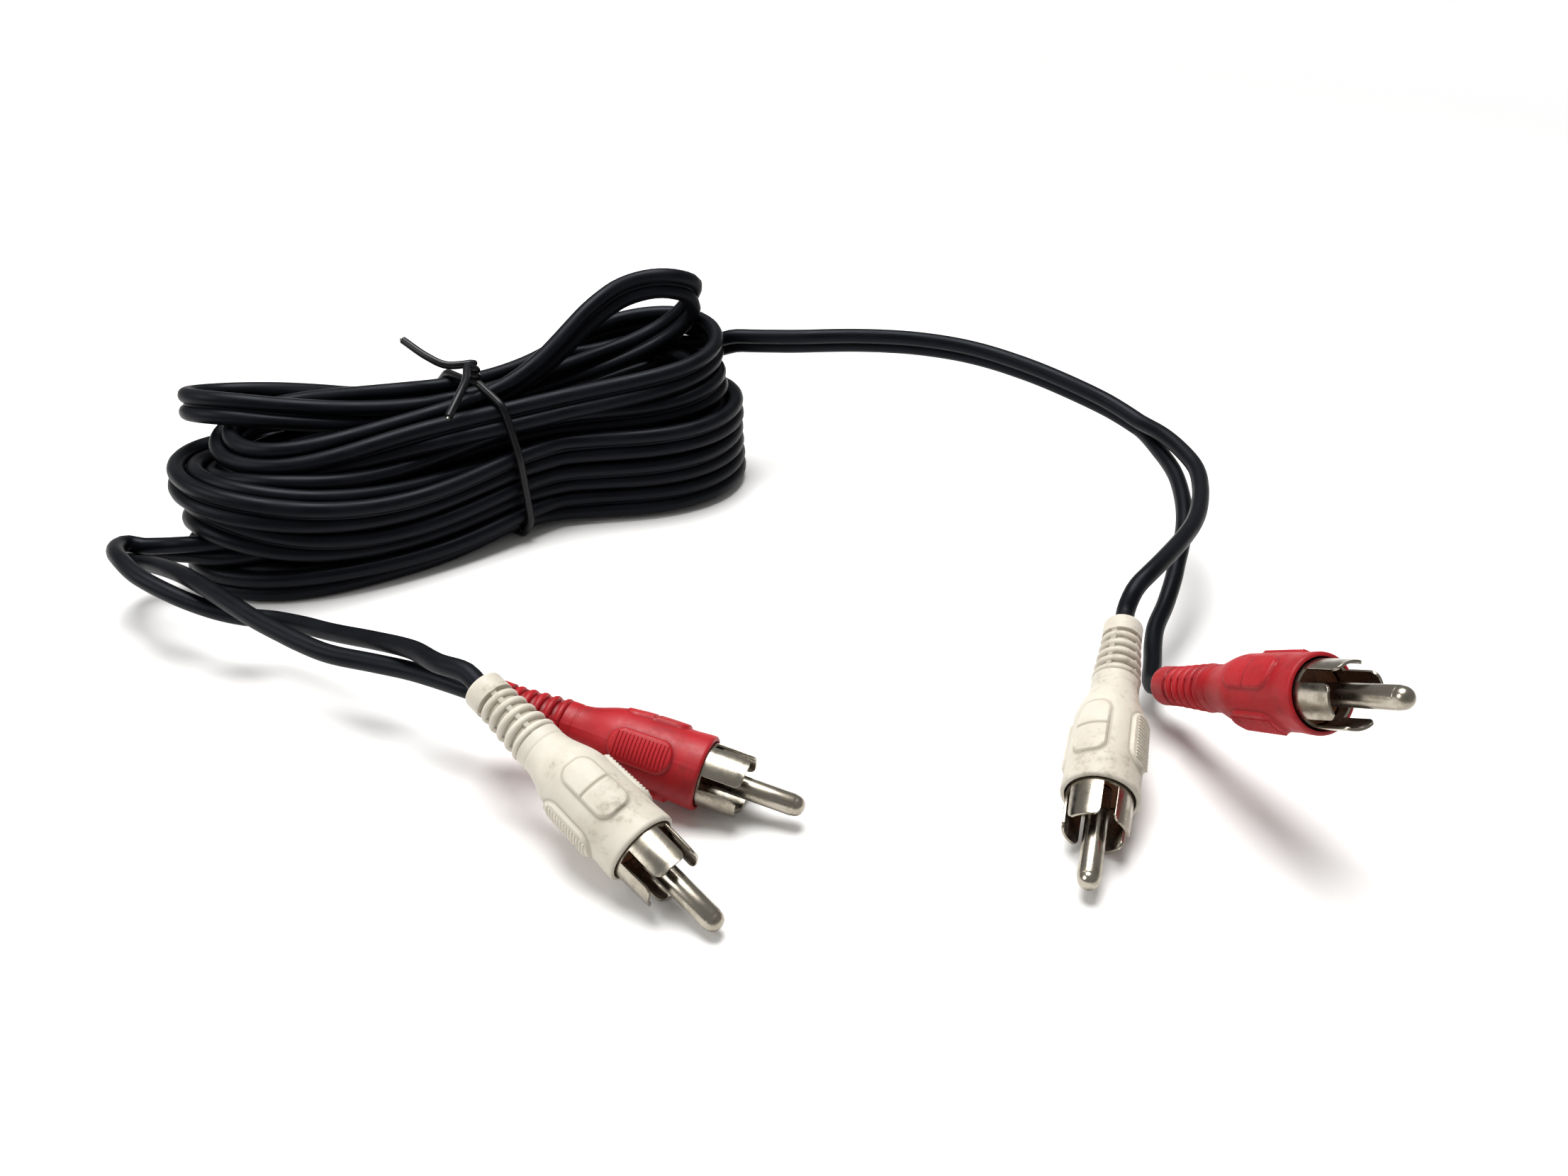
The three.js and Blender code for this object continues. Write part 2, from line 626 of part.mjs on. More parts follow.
function twistPoints(phase, foot) {
  const points = [];
  const radius = TIE_DIAMETER / 2 + SEAT_GAP / 3;
  const count = Math.round(TIE_TWISTS * WIRE_SIDES);
  for (let i = 0; i <= count; i++) {
    const angle = phase + (i / WIRE_SIDES) * 2 * Math.PI;
    const rise = (i / count) * TIE_KNOT_HEIGHT;
    points.push([foot.x + radius * Math.cos(angle), foot.y + radius * Math.sin(angle), foot.z + rise]);
  }
  return points;
}

function bandPoints() {
  const inset = TIE_SINK - SEAT_GAP - TIE_DIAMETER / 2;
  const shape = waistShape(inset);
  const loop = shape.getSpacedPoints(BAND_POINTS).slice(0, -1);
  const plane = tiePlane();
  const top = HANK_HEIGHT - inset;
  const around = loop.map((p) => ({ p, turn: turnFromKnot(p, TIE_KNOT_ACROSS, top) }));
  around.sort((a, b) => a.turn - b.turn);
  const kept = around.filter(({ turn }) => turn > TIE_OPENING && turn < 1 - TIE_OPENING);
  return kept.map(({ p }) => new THREE.Vector3(p.x, p.y, 0).applyMatrix4(plane).toArray());
}

// How far round the waist a point lies from the knot, as a share of one turn
function turnFromKnot(point, knotX, knotZ) {
  const middle = HANK_HEIGHT / 2;
  const from = Math.atan2(knotZ - middle, knotX);
  const angle = Math.atan2(point.y - middle, point.x);
  const turn = (from - angle) / (2 * Math.PI);
  return turn - Math.floor(turn);
}

function tieGeometry() {
  const foot = knotPoint();
  const across = THREE.MathUtils.degToRad(90 + TIE_TURN);
  const up = twistPoints(across - Math.PI, foot);
  const down = twistPoints(across, foot).reverse();
  const toHank = new THREE.Matrix4().makeRotationZ(THREE.MathUtils.degToRad(-HANK_YAW));
  const onTop = ([x, y, z]) => new THREE.Vector3(x, y, HANK_HEIGHT + z).applyMatrix4(toHank).toArray();
  const local = (list) => list.map(onTop);
  const start = [...local(TIE_TAIL_BACK).reverse(), ...down];
  const end = [...up, ...local(TIE_TAIL_FRONT)];
  return tube([...start, ...bandPoints(), ...end], circleShape(TIE_DIAMETER / 2, WIRE_SIDES), TIE_STEPS);
}

function hankGroup() {
  const group = new THREE.Group();
  group.rotation.z = THREE.MathUtils.degToRad(HANK_YAW);
  group.add(
    piece('cable_hank', hankGeometry(), BLACK_PVC, 0.5),
    piece('wire_tie', tieGeometry(), TIE_PVC, 0.4),
  );
  return group;
}

// Everything together, with the origin under the middle of the whole

function assembly() {
  const [leftWhite, leftRed, rightWhite, rightRed] = PLUGS;
  const model = new THREE.Group();
  model.add(
    hankGroup(),
    twinPiece('raised_loop', 1, RAISED_LOOP_ROUTE, HANK_HEIGHT),
    twinPiece('left_twin_cable', -1, LEFT_TWIN_ROUTE),
    twinPiece('right_twin_cable', 1, RIGHT_TWIN_ROUTE, HANK_HEIGHT),
    leadPiece('left_white_lead', LEFT_WHITE_ROUTE, leftWhite),
    leadPiece('left_red_lead', LEFT_RED_ROUTE, leftRed),
    leadPiece('right_white_lead', RIGHT_WHITE_ROUTE, rightWhite),
    leadPiece('right_red_lead', RIGHT_RED_ROUTE, rightRed),
    ...PLUGS.map(plugGroup),
  );
  return model;
}

function centred(model) {
  const box = new THREE.Box3().setFromObject(model, true);
  const middle = box.getCenter(new THREE.Vector3());
  model.position.set(-middle.x, -middle.y, -box.min.z);
  return model;
}

const group = new THREE.Group();
group.add(centred(assembly()));

export default group;
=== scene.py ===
# %% [markdown]
# # Stereo audio lead, wound into a hank and tied
#
# A thin figure-8 cable is wound into a flat hank with a wire tie round its waist. At each end it
# splits into two single leads, and each lead ends in a moulded plug, one white and one red.
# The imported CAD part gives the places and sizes. This script makes the pieces that the eye sees
# and puts each one where its CAD solid lies. All sizes below are in millimetres, as a maker
# would write them, and one function turns them to Blender's metres when a mesh is made.

# %% The frame
import math

import bpy
import numpy as np
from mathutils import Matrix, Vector


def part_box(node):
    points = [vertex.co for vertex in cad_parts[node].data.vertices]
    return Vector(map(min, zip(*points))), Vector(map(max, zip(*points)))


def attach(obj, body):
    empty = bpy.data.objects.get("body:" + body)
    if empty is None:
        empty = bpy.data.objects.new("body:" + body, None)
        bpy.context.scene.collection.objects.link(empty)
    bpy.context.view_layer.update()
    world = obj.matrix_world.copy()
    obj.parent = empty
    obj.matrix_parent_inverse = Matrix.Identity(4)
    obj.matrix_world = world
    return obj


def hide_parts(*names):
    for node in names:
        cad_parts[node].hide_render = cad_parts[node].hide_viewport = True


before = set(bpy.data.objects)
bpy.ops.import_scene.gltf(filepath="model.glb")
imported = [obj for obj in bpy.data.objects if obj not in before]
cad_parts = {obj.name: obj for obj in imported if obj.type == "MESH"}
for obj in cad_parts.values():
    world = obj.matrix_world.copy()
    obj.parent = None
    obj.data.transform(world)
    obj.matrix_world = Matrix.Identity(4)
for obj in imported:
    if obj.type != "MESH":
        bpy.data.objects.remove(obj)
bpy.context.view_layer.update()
print("nodes in the frame:", len(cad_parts))

# %% [markdown]
# The part was drawn round the middle of the hank's foot and then centred. The hank's own box
# gives that middle back, so every place below can be written as it was in the CAD source:
# measured from one end of the hank (-1 is the left end, 1 the right end).

# %% Where things are measured from
HANK_LENGTH = 110.0
HANK_WAIST = 28.0
HANK_HEIGHT = 30.0
HANK_YAW = math.radians(22)

low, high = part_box("cable_hank")
HANK_MIDDLE = np.array([(low[0] + high[0]) * 500, (low[1] + high[1]) * 500, 0.0])
ALONG = np.array([math.cos(HANK_YAW), math.sin(HANK_YAW), 0.0])
ACROSS = np.array([-math.sin(HANK_YAW), math.cos(HANK_YAW), 0.0])
UP = np.array([0.0, 0.0, 1.0])


def from_end(end, point, base=0.0):
    """A point measured in plan from one end of the hank, in the part's own frame."""
    x, y, z = point
    return HANK_MIDDLE + ALONG * end * HANK_LENGTH / 2 + np.array([x, y, base + z])


def from_hank(points):
    """Points given along, across and above the hank, in the part's own frame."""
    points = np.asarray(points, float)
    return HANK_MIDDLE + points @ np.array([ALONG, ACROSS, UP])


def to_hank(points):
    return (points - HANK_MIDDLE) @ np.array([ALONG, ACROSS, UP]).T


print("middle of the hank, mm:", HANK_MIDDLE.round(2))

# %% [markdown]
# ## Camera
#
# The camera was worked out from the four plugs, whose real sizes are known: it looks 32.4 degrees
# down from 127 mm above the table. The focal length is in pixels of the 2212-pixel-wide photograph,
# so the lens follows from the sensor's width.

# %% The camera
PHOTO_WIDTH = 2212
FOCAL_PIXELS = 1813.1
CAMERA_FROM_HANK = np.array([60.0, -224.0, 126.54])
CAMERA_DOWN = math.radians(32.414)
CAMERA_ROLL = -0.004

camera_data = bpy.data.cameras.new("camera")
camera_data.sensor_width = 36.0
camera_data.lens = camera_data.sensor_width * FOCAL_PIXELS / PHOTO_WIDTH
camera_data.clip_start = 0.01
camera = bpy.data.objects.new("camera", camera_data)
camera.location = (HANK_MIDDLE + CAMERA_FROM_HANK) / 1000
camera.rotation_euler = (math.pi / 2 - CAMERA_DOWN, CAMERA_ROLL, 0)
bpy.context.collection.objects.link(camera)
bpy.context.scene.camera = camera
bpy.context.scene.view_settings.view_transform = "Standard"
print("lens, mm:", round(camera_data.lens, 2))

# %% [markdown]
# ## Small tools
#
# One function adds a node to a material or to a Geometry Nodes tree: it makes the node, writes
# its settings, and fills each input with a plain value or with a link from another node.

# %% A node, and colours
def fill(tree, made, inputs):
    """Fills a node's inputs, each with a value or with another node's output socket."""
    for name, value in inputs.items():
        if isinstance(value, bpy.types.NodeSocket):
            tree.links.new(value, made.inputs[name])
        else:
            made.inputs[name].default_value = value


def node(tree, kind, inputs=None, **settings):
    """Adds one node with its settings and inputs."""
    made = tree.nodes.new(kind)
    for name, value in settings.items():
        setattr(made, name, value)
    fill(tree, made, inputs or {})
    return made


def calculate(tree, operation, *values):
    return node(tree, "ShaderNodeMath", dict(enumerate(values)), operation=operation).outputs[0]


def linear(hex_colour):
    """An sRGB hex colour as the linear RGBA that Blender's sockets take."""
    values = [int(hex_colour[i:i + 2], 16) / 255 for i in (1, 3, 5)]
    return tuple(v / 12.92 if v <= 0.04045 else ((v + 0.055) / 1.055) ** 2.4 for v in values) + (1.0,)


# %% Meshes
def new_mesh(name, points, edges=(), faces=()):
    """A mesh from points in millimetres."""
    mesh = bpy.data.meshes.new(name)
    mesh.from_pydata((np.asarray(points) / 1000).tolist(), list(edges), list(faces))
    return mesh


def into_scene(name, data):
    """An object of a mesh or a lamp, in the scene."""
    made = bpy.data.objects.new(name, data)
    bpy.context.collection.objects.link(made)
    return made


def shade(mesh, sharp=40):
    """Shades a mesh smooth, but for edges sharper than an angle in degrees."""
    mesh.shade_smooth()
    mesh.set_sharp_from_angle(angle=math.radians(sharp))


def make_piece(name, points, faces, material=None, sharp=40):
    mesh = new_mesh(name, points, faces=faces)
    shade(mesh, sharp)
    if material:
        mesh.materials.append(material)
    return into_scene(name, mesh)


def around(radius, y, angles):
    """Points round the Y axis at a place along it, one for each angle."""
    return np.stack([radius * np.sin(angles), np.full(len(angles), y), radius * np.cos(angles)], 1)


def sheet_faces(rows, columns, closed_rows=False):
    """Faces of a grid that is closed round its columns, and round its rows if asked."""
    faces = []
    for i in range(rows if closed_rows else rows - 1):
        for j in range(columns):
            a, b = i * columns + j, i * columns + (j + 1) % columns
            c, d = (i + 1) % rows * columns + (j + 1) % columns, (i + 1) % rows * columns + j
            faces.append((a, b, c, d))
    return faces


def join(name, pieces):
    """Joins finished pieces into the first one, and names it."""
    with bpy.context.temp_override(active_object=pieces[0], selected_editable_objects=pieces):
        bpy.ops.object.join()
    pieces[0].name = pieces[0].data.name = name
    return pieces[0]


# %% [markdown]
# ## Materials
#
# Every colour is an sRGB hex value read against a white card, and every pattern has its size in
# millimetres: a pattern of p millimetres needs a noise scale of 1000 / p, because Blender's
# object coordinates are in metres.

# %% Materials' common start
def new_material(name, surface):
    """A material, its tree, its surface shader and the object coordinates."""
    material = bpy.data.materials.new(name)
    material.use_nodes = True
    tree = material.node_tree
    shader = tree.nodes["Principled BSDF"]
    fill(tree, shader, surface)
    return material, tree, shader, node(tree, "ShaderNodeTexCoord").outputs["Object"]


def noise(tree, place, size_mm, detail, roughness=0.5, distortion=0.0):
    """A value that wanders round a half, in features as wide as the given millimetres."""
    inputs = {"Vector": place, "Scale": 1000 / size_mm, "Detail": detail}
    inputs.update(Roughness=roughness, Distortion=distortion)
    return node(tree, "ShaderNodeTexNoise", inputs).outputs["Fac"]


def blend(tree, share, first, second):
    """Mixes two colours, each a hex value or a socket, by a share from another node."""
    first, second = [linear(c) if isinstance(c, str) else c for c in (first, second)]
    return node(tree, "ShaderNodeMix", {0: share, 6: first, 7: second}, data_type="RGBA").outputs[2]


def ramp(tree, value, start, end, low=0.0, high=1.0):
    """Stretches a value between two limits, smoothly."""
    limits = {"Value": value, "From Min": start, "From Max": end, "To Min": low, "To Max": high}
    return node(tree, "ShaderNodeMapRange", limits, interpolation_type="SMOOTHSTEP").outputs["Result"]


def bump(tree, shader, height, distance_mm, strength):
    """Raises the surface by a height of 0 to 1 times a real distance."""
    inputs = {"Height": height, "Distance": distance_mm / 1000, "Strength": strength}
    fill(tree, shader, {"Normal": node(tree, "ShaderNodeBump", inputs).outputs["Normal"]})


# %% [markdown]
# **Black PVC jacket.** The jacket is extruded: soft plasticised PVC that leaves the die with a
# satin skin and a very faint orange peel of about half a millimetre. Handling leaves it with
# slightly duller and shinier patches, a few millimetres across.

# %% Black PVC
def patchy(name, surface, colours, share, rough, patches, skin, bump_mm, strength):
    """Two close colours and a roughness that follow the same patches, under a fine skin."""
    material, tree, shader, place = new_material(name, surface)
    wander = noise(tree, place, *patches)
    colour = blend(tree, ramp(tree, wander, *share), *colours)
    fill(tree, shader, {"Base Color": colour, "Roughness": ramp(tree, wander, *rough)})
    bump(tree, shader, noise(tree, place, *skin), bump_mm, strength)
    return material


BLACK_PVC = patchy(
    "extruded_black_pvc", {"IOR": 1.53, "Specular IOR Level": 0.11, "Specular Tint": linear("#dfe6f6")},
    colours=("#07080b", "#0b0c10"), share=(0.35, 0.7), rough=(0.3, 0.75, 0.36, 0.5),
    patches=(6, 3.0), skin=(0.5, 2.0), bump_mm=0.02, strength=0.5,
)

# %% [markdown]
# ** Moulded PVC.** The plugs' boots are injection moulded: a fine matt skin from the eroded mould,
# softer than ABS and a little translucent. The white one shows every fingerprint: grey-brown
# grime lies on it in soft clouds. The same grey-brown is also painted into its grooves and round
# its grips as painted shade. The red one has the same skin, and its grime and painted shade hardly
# show. The boot's mesh says how deep in a crease each point lies, which sets that painted shade.

# %% Moulded PVC for the boots
def moulded_pvc(name, clean, deep, grime_and_shade, grime_and_shade_share):
    material, tree, shader, place = new_material(name, {
        "IOR": 1.53, "Specular IOR Level": 0.3, "Subsurface Weight": 0.08, "Subsurface Scale": 0.0008,
    })
    clouds = noise(tree, place, 9, 4.0, 0.6)
    specks = noise(tree, place, 1.3, 3.0, 0.7)
    in_clouds = ramp(tree, calculate(tree, "MULTIPLY", clouds, specks), 0.27, 0.46, 0.0, grime_and_shade_share)
    # painted shade: the crease mark darkens grooves, the grip line and grip edges with the grime colour
    creases = node(tree, "ShaderNodeAttribute", attribute_name="depth").outputs["Fac"]
    painted_crease_shade = ramp(tree, creases, 0.0, 1.0, 0.0, grime_and_shade_share * 1.2)
    base = blend(tree, ramp(tree, clouds, 0.35, 0.65), clean, deep)
    fill(tree, shader, {
        "Base Color": blend(tree, calculate(tree, "MAXIMUM", in_clouds, painted_crease_shade), base, grime_and_shade),
        "Roughness": ramp(tree, specks, 0.3, 0.7, 0.44, 0.58),
    })
    bump(tree, shader, noise(tree, place, 0.16, 2.0), 0.02, 0.6)
    return material


# the third colour is real grime in clouds, and painted shade in the creases
WHITE_PVC = moulded_pvc("moulded_white_pvc", "#c6c0b3", "#bbb4a6", "#8a8272", 0.6)
RED_PVC = moulded_pvc("moulded_red_pvc", "#a20f19", "#920c15", "#5e0f14", 0.4)

# %% [markdown]
# **Nickel plate.** The ground shell is pressed from tin-plate and the pin is turned brass, both
# with a bright nickel plate. It is warm grey, not blue like chrome. Plugging in and out has left
# fine marks along the pin and a faint dull haze.

# %% Nickel plate
NICKEL = patchy(
    "worn_nickel_plate", {"Metallic": 1.0},
    colours=("#aaa396", "#8d8577"), share=(0.4, 0.7), rough=(0.3, 0.75, 0.17, 0.36),
    patches=(2.5, 4.0, 0.65), skin=(0.35, 3.0, 0.7), bump_mm=0.012, strength=0.35,
)

# %% [markdown]
# **The rest.** The washer that holds the pin is punched from brown phenolic paper board, whose cut
# edge and face show fine paper fibres. The tie is steel wire in a thin glossy PVC coat. Inside
# each plug the core is insulated with milky polyethylene, and the screen is bare copper twisted
# into a tail. Each of these has two close colours that wander over it.

# %% Phenolic board, tie coat, steel, polyethylene and copper
def speckled(name, first, second, wander, bump_mm, surface):
    material, tree, shader, place = new_material(name, surface)
    value = noise(tree, place, *wander)
    fill(tree, shader, {"Base Color": blend(tree, ramp(tree, value, 0.35, 0.65), first, second)})
    bump(tree, shader, value, bump_mm, 0.5)
    return material


BOARD, COAT, MILKY = [{"Roughness": r, "IOR": i} for r, i in ((0.48, 1.55), (0.32, 1.3), (0.45, 1.51))]
STEEL, COPPER = [{"Metallic": 1.0, "Roughness": r} for r in (0.35, 0.32)]
PHENOLIC = speckled("punched_phenolic_board", "#7a431c", "#5a2f14", (0.4, 4.0, 0.5, 1.5), 0.02, BOARD)
TIE_COAT = speckled("glossy_black_pvc_coat", "#08090b", "#0e0f12", (1.2, 3.0), 0.02, COAT)
CUT_STEEL = speckled("cut_steel_wire", "#9a978f", "#6f6c66", (0.3, 3.0), 0.01, STEEL)
POLYETHYLENE = speckled("milky_polyethylene", "#e6e2da", "#dcd7cc", (1.5, 3.0), 0.01, MILKY)
COPPER_WIRE = speckled("bare_copper_wire", "#b8704a", "#9a5836", (0.5, 3.0), 0.02, COPPER)
print("finishes:", len([m for m in bpy.data.materials if m.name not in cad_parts]))

# %% [markdown]
# ## The twin cable's route
#
# The hank was wound round a hand: each turn goes along the front, round the right end, back along
# the back and round the left end. A turn is named by where it lies at those four places: in which
# layer, 0 being the outermost, and at what height. The first turns fill the stack from the
# inside out and from the floor up, as winding does. The last two and a half turns lie across the
# top, where the photograph shows each of them, so their points are listed one by one.

# %% The turns of the hank
STRAND = 3.0  # one jacket. In the hank the twin cable is two of them, one above the other
LAYER_PITCH = 3.1
FRONT_DEPTHS = (17.0, 10.5)  # from the hank's axis to its front, at its left and right ends
BACK_DEPTH = 17.0  # the same to its back, at both ends
WAIST_DEPTH = 12.4  # the same at the tie
RIGHT_REACH = 55.8
LEFT_REACH = 52.0
TIE_OFFSET = 1.5  # from the hank's middle to the tie
LEG_BULGE_AT = 28  # from the hank's middle to where a leg bulges most
LEG_BULGE = 0.75  # how far it bulges there, as a share of the way from the waist's depth to the end's
BEND_ANGLES = np.radians([-62, -30, 0, 30, 62])
FIRST_LAY = (2, 9.3)  # layer and height at which the cable comes in at the left end

WOUND_TURNS = [  # (layer, height) at the front, the right end, the back and the left end
    ((2, 9.4), (2, 13.0), (2, 9.4), (2, 3.3)),
    ((2, 3.3), (2, 7.0), (2, 3.3), (1, 3.3)),
    ((1, 3.3), (1, 7.0), (1, 3.3), (0, 3.3)),
    ((0, 3.3), (0, 7.0), (0, 3.3), (0, 15.4)),
    ((0, 9.4), (0, 13.0), (0, 9.4), (1, 15.4)),
    ((1, 9.4), (1, 13.0), (1, 9.4), (2, 15.4)),
    ((2, 15.5), (2, 19.0), (2, 15.5), (1, 21.4)),
    ((1, 15.5), (1, 19.0), (1, 15.5), (0, 21.4)),
    ((0, 15.5), (0, 19.0), (0, 15.5), (2, 21.4)),
    ((2.2, 20.5), (1.2, 24.6), (1, 21.0), (3, 19.0)),
    ((3, 17.0), (2.4, 24.6), (0, 21.0), (2.2, 24.2)),
]


def depths(layer, end):
    """From the axis to a layer's front and back, at one end of the hank."""
    return FRONT_DEPTHS[end > 0] - LAYER_PITCH * layer, BACK_DEPTH - LAYER_PITCH * layer


def leg(side, this, before, after):
    """Three points of a straight leg: beside the bulge, at the tie, and beside the next bulge."""
    layer, height = this
    waist = WAIST_DEPTH - LAYER_PITCH * layer
    left, right = [waist + LEG_BULGE * (depths(layer, end)[side > 0] - waist) for end in (-1, 1)]
    return [
        (-LEG_BULGE_AT, side * left, (height + before[1]) / 2),
        (TIE_OFFSET, side * waist, height),
        (LEG_BULGE_AT, side * right, (height + after[1]) / 2),
    ]


def bend(end, place):
    """Five points round one end of the hank."""
    layer, height = place
    front, back = depths(layer, end)
    radius = (front + back) / 2
    middle = end * ((RIGHT_REACH if end > 0 else LEFT_REACH) - LAYER_PITCH * layer - radius)
    return [
        (middle + end * radius * math.cos(a), (back - front) / 2 + radius * math.sin(a) * end, height)
        for a in BEND_ANGLES
    ]


def wound_route():
    points, left_before = [], FIRST_LAY
    for front, right, back, left in WOUND_TURNS:
        points += leg(-1, front, left_before, right) + bend(1, right)
        points += leg(1, back, left, right)[::-1] + bend(-1, left)
        left_before = left
    return points


print("wound turns:", len(WOUND_TURNS))

# %% [markdown]
# The listed points start with the stretch at the left end, where the cable leaves between
# the turns. They end with the corner turn, the raised loop, the narrow loop at the top left and
# the last leg, which runs straight over the top and out to the right.

# %% The listed ends of the cable
LEFT_SPLIT = (-1.9, -6.8, 9.5)  # from the left end of the hank
LEFT_TWIN = [LEFT_SPLIT, (0.1, -6.6, 9.3), (2.1, -6.4, 9.1)]
LEFT_INSIDE = [(-49, -9.6, 9.3), (-42, -11.6, 9.3)]  # along, across and above the hank
CORNER_TURN = [
    (-34, -8.0, 24.0), (-12, -8.2, 24.4), (2, -7.6, 25.2), (20, -7.0, 27.4), (38, -5.5, 29.6), (50, -1, 30.6),
    (54, 5.0, 30.6), (50, 12, 30.6), (36, 15.5, 30.0), (18, 12.0, 28.4), (0, 9.0, 26.6), (-25, 10.5, 25.0),
    (-38, 9.0, 24.4), (-44.5, 3, 24.2), (-43, -3, 24.2),
]
LOOP_RISE = [(-32, -4.5, 25.0), (-18, -3.4, 26.4), (-4, -2.2, 28.2), (8.7, -2.6, 30.2)]
RAISED_LOOP = [  # from the right end of the hank and above its top
    (-33.5, -12.5, 3.4), (-28.4, -5, 7.0), (-22.1, -0.2, 10.2), (-15, 0.8, 11.6), (-10, 3.4, 9.8),
    (-8.5, 6, 6.8), (-11, 5.8, 3.6),
]
TOP_LEFT_LOOP = [
    (34, 8.6, 31.4), (20, 5.0, 29.6), (2, 2.2, 27.4), (-18, 2.6, 26.8), (-34, 5.2, 28.4), (-45, 7.4, 29.4),
    (-53.0, 11.6, 30.2), (-50, 17.6, 30.6), (-40, 18.0, 28.8),
]
LAST_LEG = [(-26, 15.0, 24.6), (-6, 12.0, 24.2), (8, 11.6, 25.4), (24, 13.4, 26.6), (38, 14.6, 26.2)]
RIGHT_TWIN = [  # from the right end of the hank and its top
    (-5.2, 10.3, -5.1), (-1.5, 9.7, -3.9), (3.9, 8.8, -3.5), (11.3, 8.2, -3.3), (25.3, 8.6, -3.2),
    (37.5, 7.9, -3.6), (48.4, 5.6, -4.6), (58.6, 0.5, -6), (67.5, -5.3, -7.8), (74.5, -10.6, -9.6),
    (78.8, -16, -10.8),
]


def whole_route():
    """Every point of the twin cable, from the left split to the right one."""
    left = [from_end(-1, p) for p in LEFT_TWIN]
    wound = from_hank(LEFT_INSIDE + wound_route() + CORNER_TURN + LOOP_RISE)
    raised = [from_end(1, p, HANK_HEIGHT) for p in RAISED_LOOP]
    top = from_hank(TOP_LEFT_LOOP + LAST_LEG)
    right = [from_end(1, p, HANK_HEIGHT) for p in RIGHT_TWIN]
    return np.vstack([left, wound, raised, top, right])


route = whole_route()
print("points of the route:", len(route))

# %% [markdown]
# A smooth curve runs through the points. A centripetal Catmull-Rom spline is used because it never
# loops or overshoots between close points. It is then cut into even steps.

# %% A smooth curve through points
CUTS = 24  # of the curve between two points, before it is cut evenly


def spline(points, step):
    """Even steps along a centripetal Catmull-Rom spline through the points."""
    points = np.asarray(points, float)
    held = np.vstack([2 * points[0] - points[1], points, 2 * points[-1] - points[-2]])
    fine = []
    for p0, p1, p2, p3 in zip(held, held[1:], held[2:], held[3:]):
        gaps = [np.linalg.norm(b - a) ** 0.5 for a, b in ((p0, p1), (p1, p2), (p2, p3))]
        t0, t1, t2, t3 = np.cumsum([0] + gaps)
        t = np.linspace(t1, t2, CUTS, endpoint=False)[:, None]
        mix = lambda start, end, p, q: (end - t) / (end - start) * p + (t - start) / (end - start) * q
        a1, a2, a3 = mix(t0, t1, p0, p1), mix(t1, t2, p1, p2), mix(t2, t3, p2, p3)
        fine.append(mix(t1, t2, mix(t0, t2, a1, a2), mix(t1, t3, a2, a3)))
    fine = np.vstack(fine + [points[-1:]])
    gone = np.concatenate([[0], np.cumsum(np.linalg.norm(np.diff(fine, axis=0), axis=1))])
    marks = np.linspace(0, gone[-1], max(2, round(gone[-1] / step) + 1))
    return np.stack([np.interp(marks, gone, fine[:, k]) for k in range(3)], axis=1)


def length_of(points):
    return float(np.linalg.norm(np.diff(points, axis=0), axis=1).sum())


STEP = 4.0  # between the points of the route
middle_line = spline(route, STEP)
print("twin cable, mm:", round(length_of(middle_line)), "in", len(middle_line), "points")

# %% [markdown]
# ## Letting the turns settle
#
# Drawn by rule, the turns cut through each other here and there. So the two strands become rows
# of points that are pushed about a few hundred times, each time a little: neighbours keep their
# distance, the two strands stay side by side, strands that touch push apart, and nothing may go
# through the floor or past the tie. That is position-based dynamics, and it needs no randomness,
# so it gives the same hank on every run.
#
# Inside the hank the twin cable stands on edge. Where it leaves the hank at either end it leans
# over, so that one strand lies partly beside the other, as the photograph shows.

# %% Two strands from one line
LEFT_LEAN = math.radians(40)
RIGHT_LEAN = math.radians(32)
LEAN_LENGTH = 16  # in which the cable comes to lean
STACK_END = 38  # along the hank: here the last leg leaves the stack


def last_within(line, reach):
    """The number of the line's last point that lies less than a reach along the hank."""
    return len(line) - 1 - np.argmax(to_hank(line)[::-1, 0] < reach)


def lean_along(line):
    """The twin cable's lean at each point."""
    numbers = np.arange(len(line))
    left = LEFT_LEAN * np.clip(1 - numbers * STEP / LEAN_LENGTH, 0, 1)
    right = RIGHT_LEAN * np.clip((numbers - last_within(line, STACK_END)) * STEP / LEAN_LENGTH, 0, 1)
    return (left + right)[:, None]


def two_strands(line):
    """The upper and the lower strand of the twin cable."""
    run = np.gradient(line, axis=0)
    run /= np.linalg.norm(run, axis=1)[:, None]
    rise = UP - run[:, 2:3] * run
    rise /= np.linalg.norm(rise, axis=1)[:, None]
    lean = lean_along(line)
    rise = rise * np.cos(lean) + np.cross(run, rise) * np.sin(lean)
    return np.stack([line + rise * STRAND / 2, line - rise * STRAND / 2])


# %% Keeping a strand's shape
STIFFNESS = 0.25  # each of these is the share of an error that one pass takes away
STRETCH_SHARE = 0.4
PAIR_SHARE = 0.5
SHEAR_SHARE = 0.15


def keep_apart(first, second, wanted, share):
    """How far to move two rows of points, so that they come nearer to a wanted distance."""
    gap = second - first
    now = np.linalg.norm(gap, axis=-1, keepdims=True)
    return share * (now - wanted) / now * gap


def uneven(rows):
    """How far each point lies from the middle of its neighbours."""
    change = np.zeros_like(rows)
    change[:, 1:-1] = (rows[:, 2:] + rows[:, :-2]) / 2 - rows[:, 1:-1]
    return change


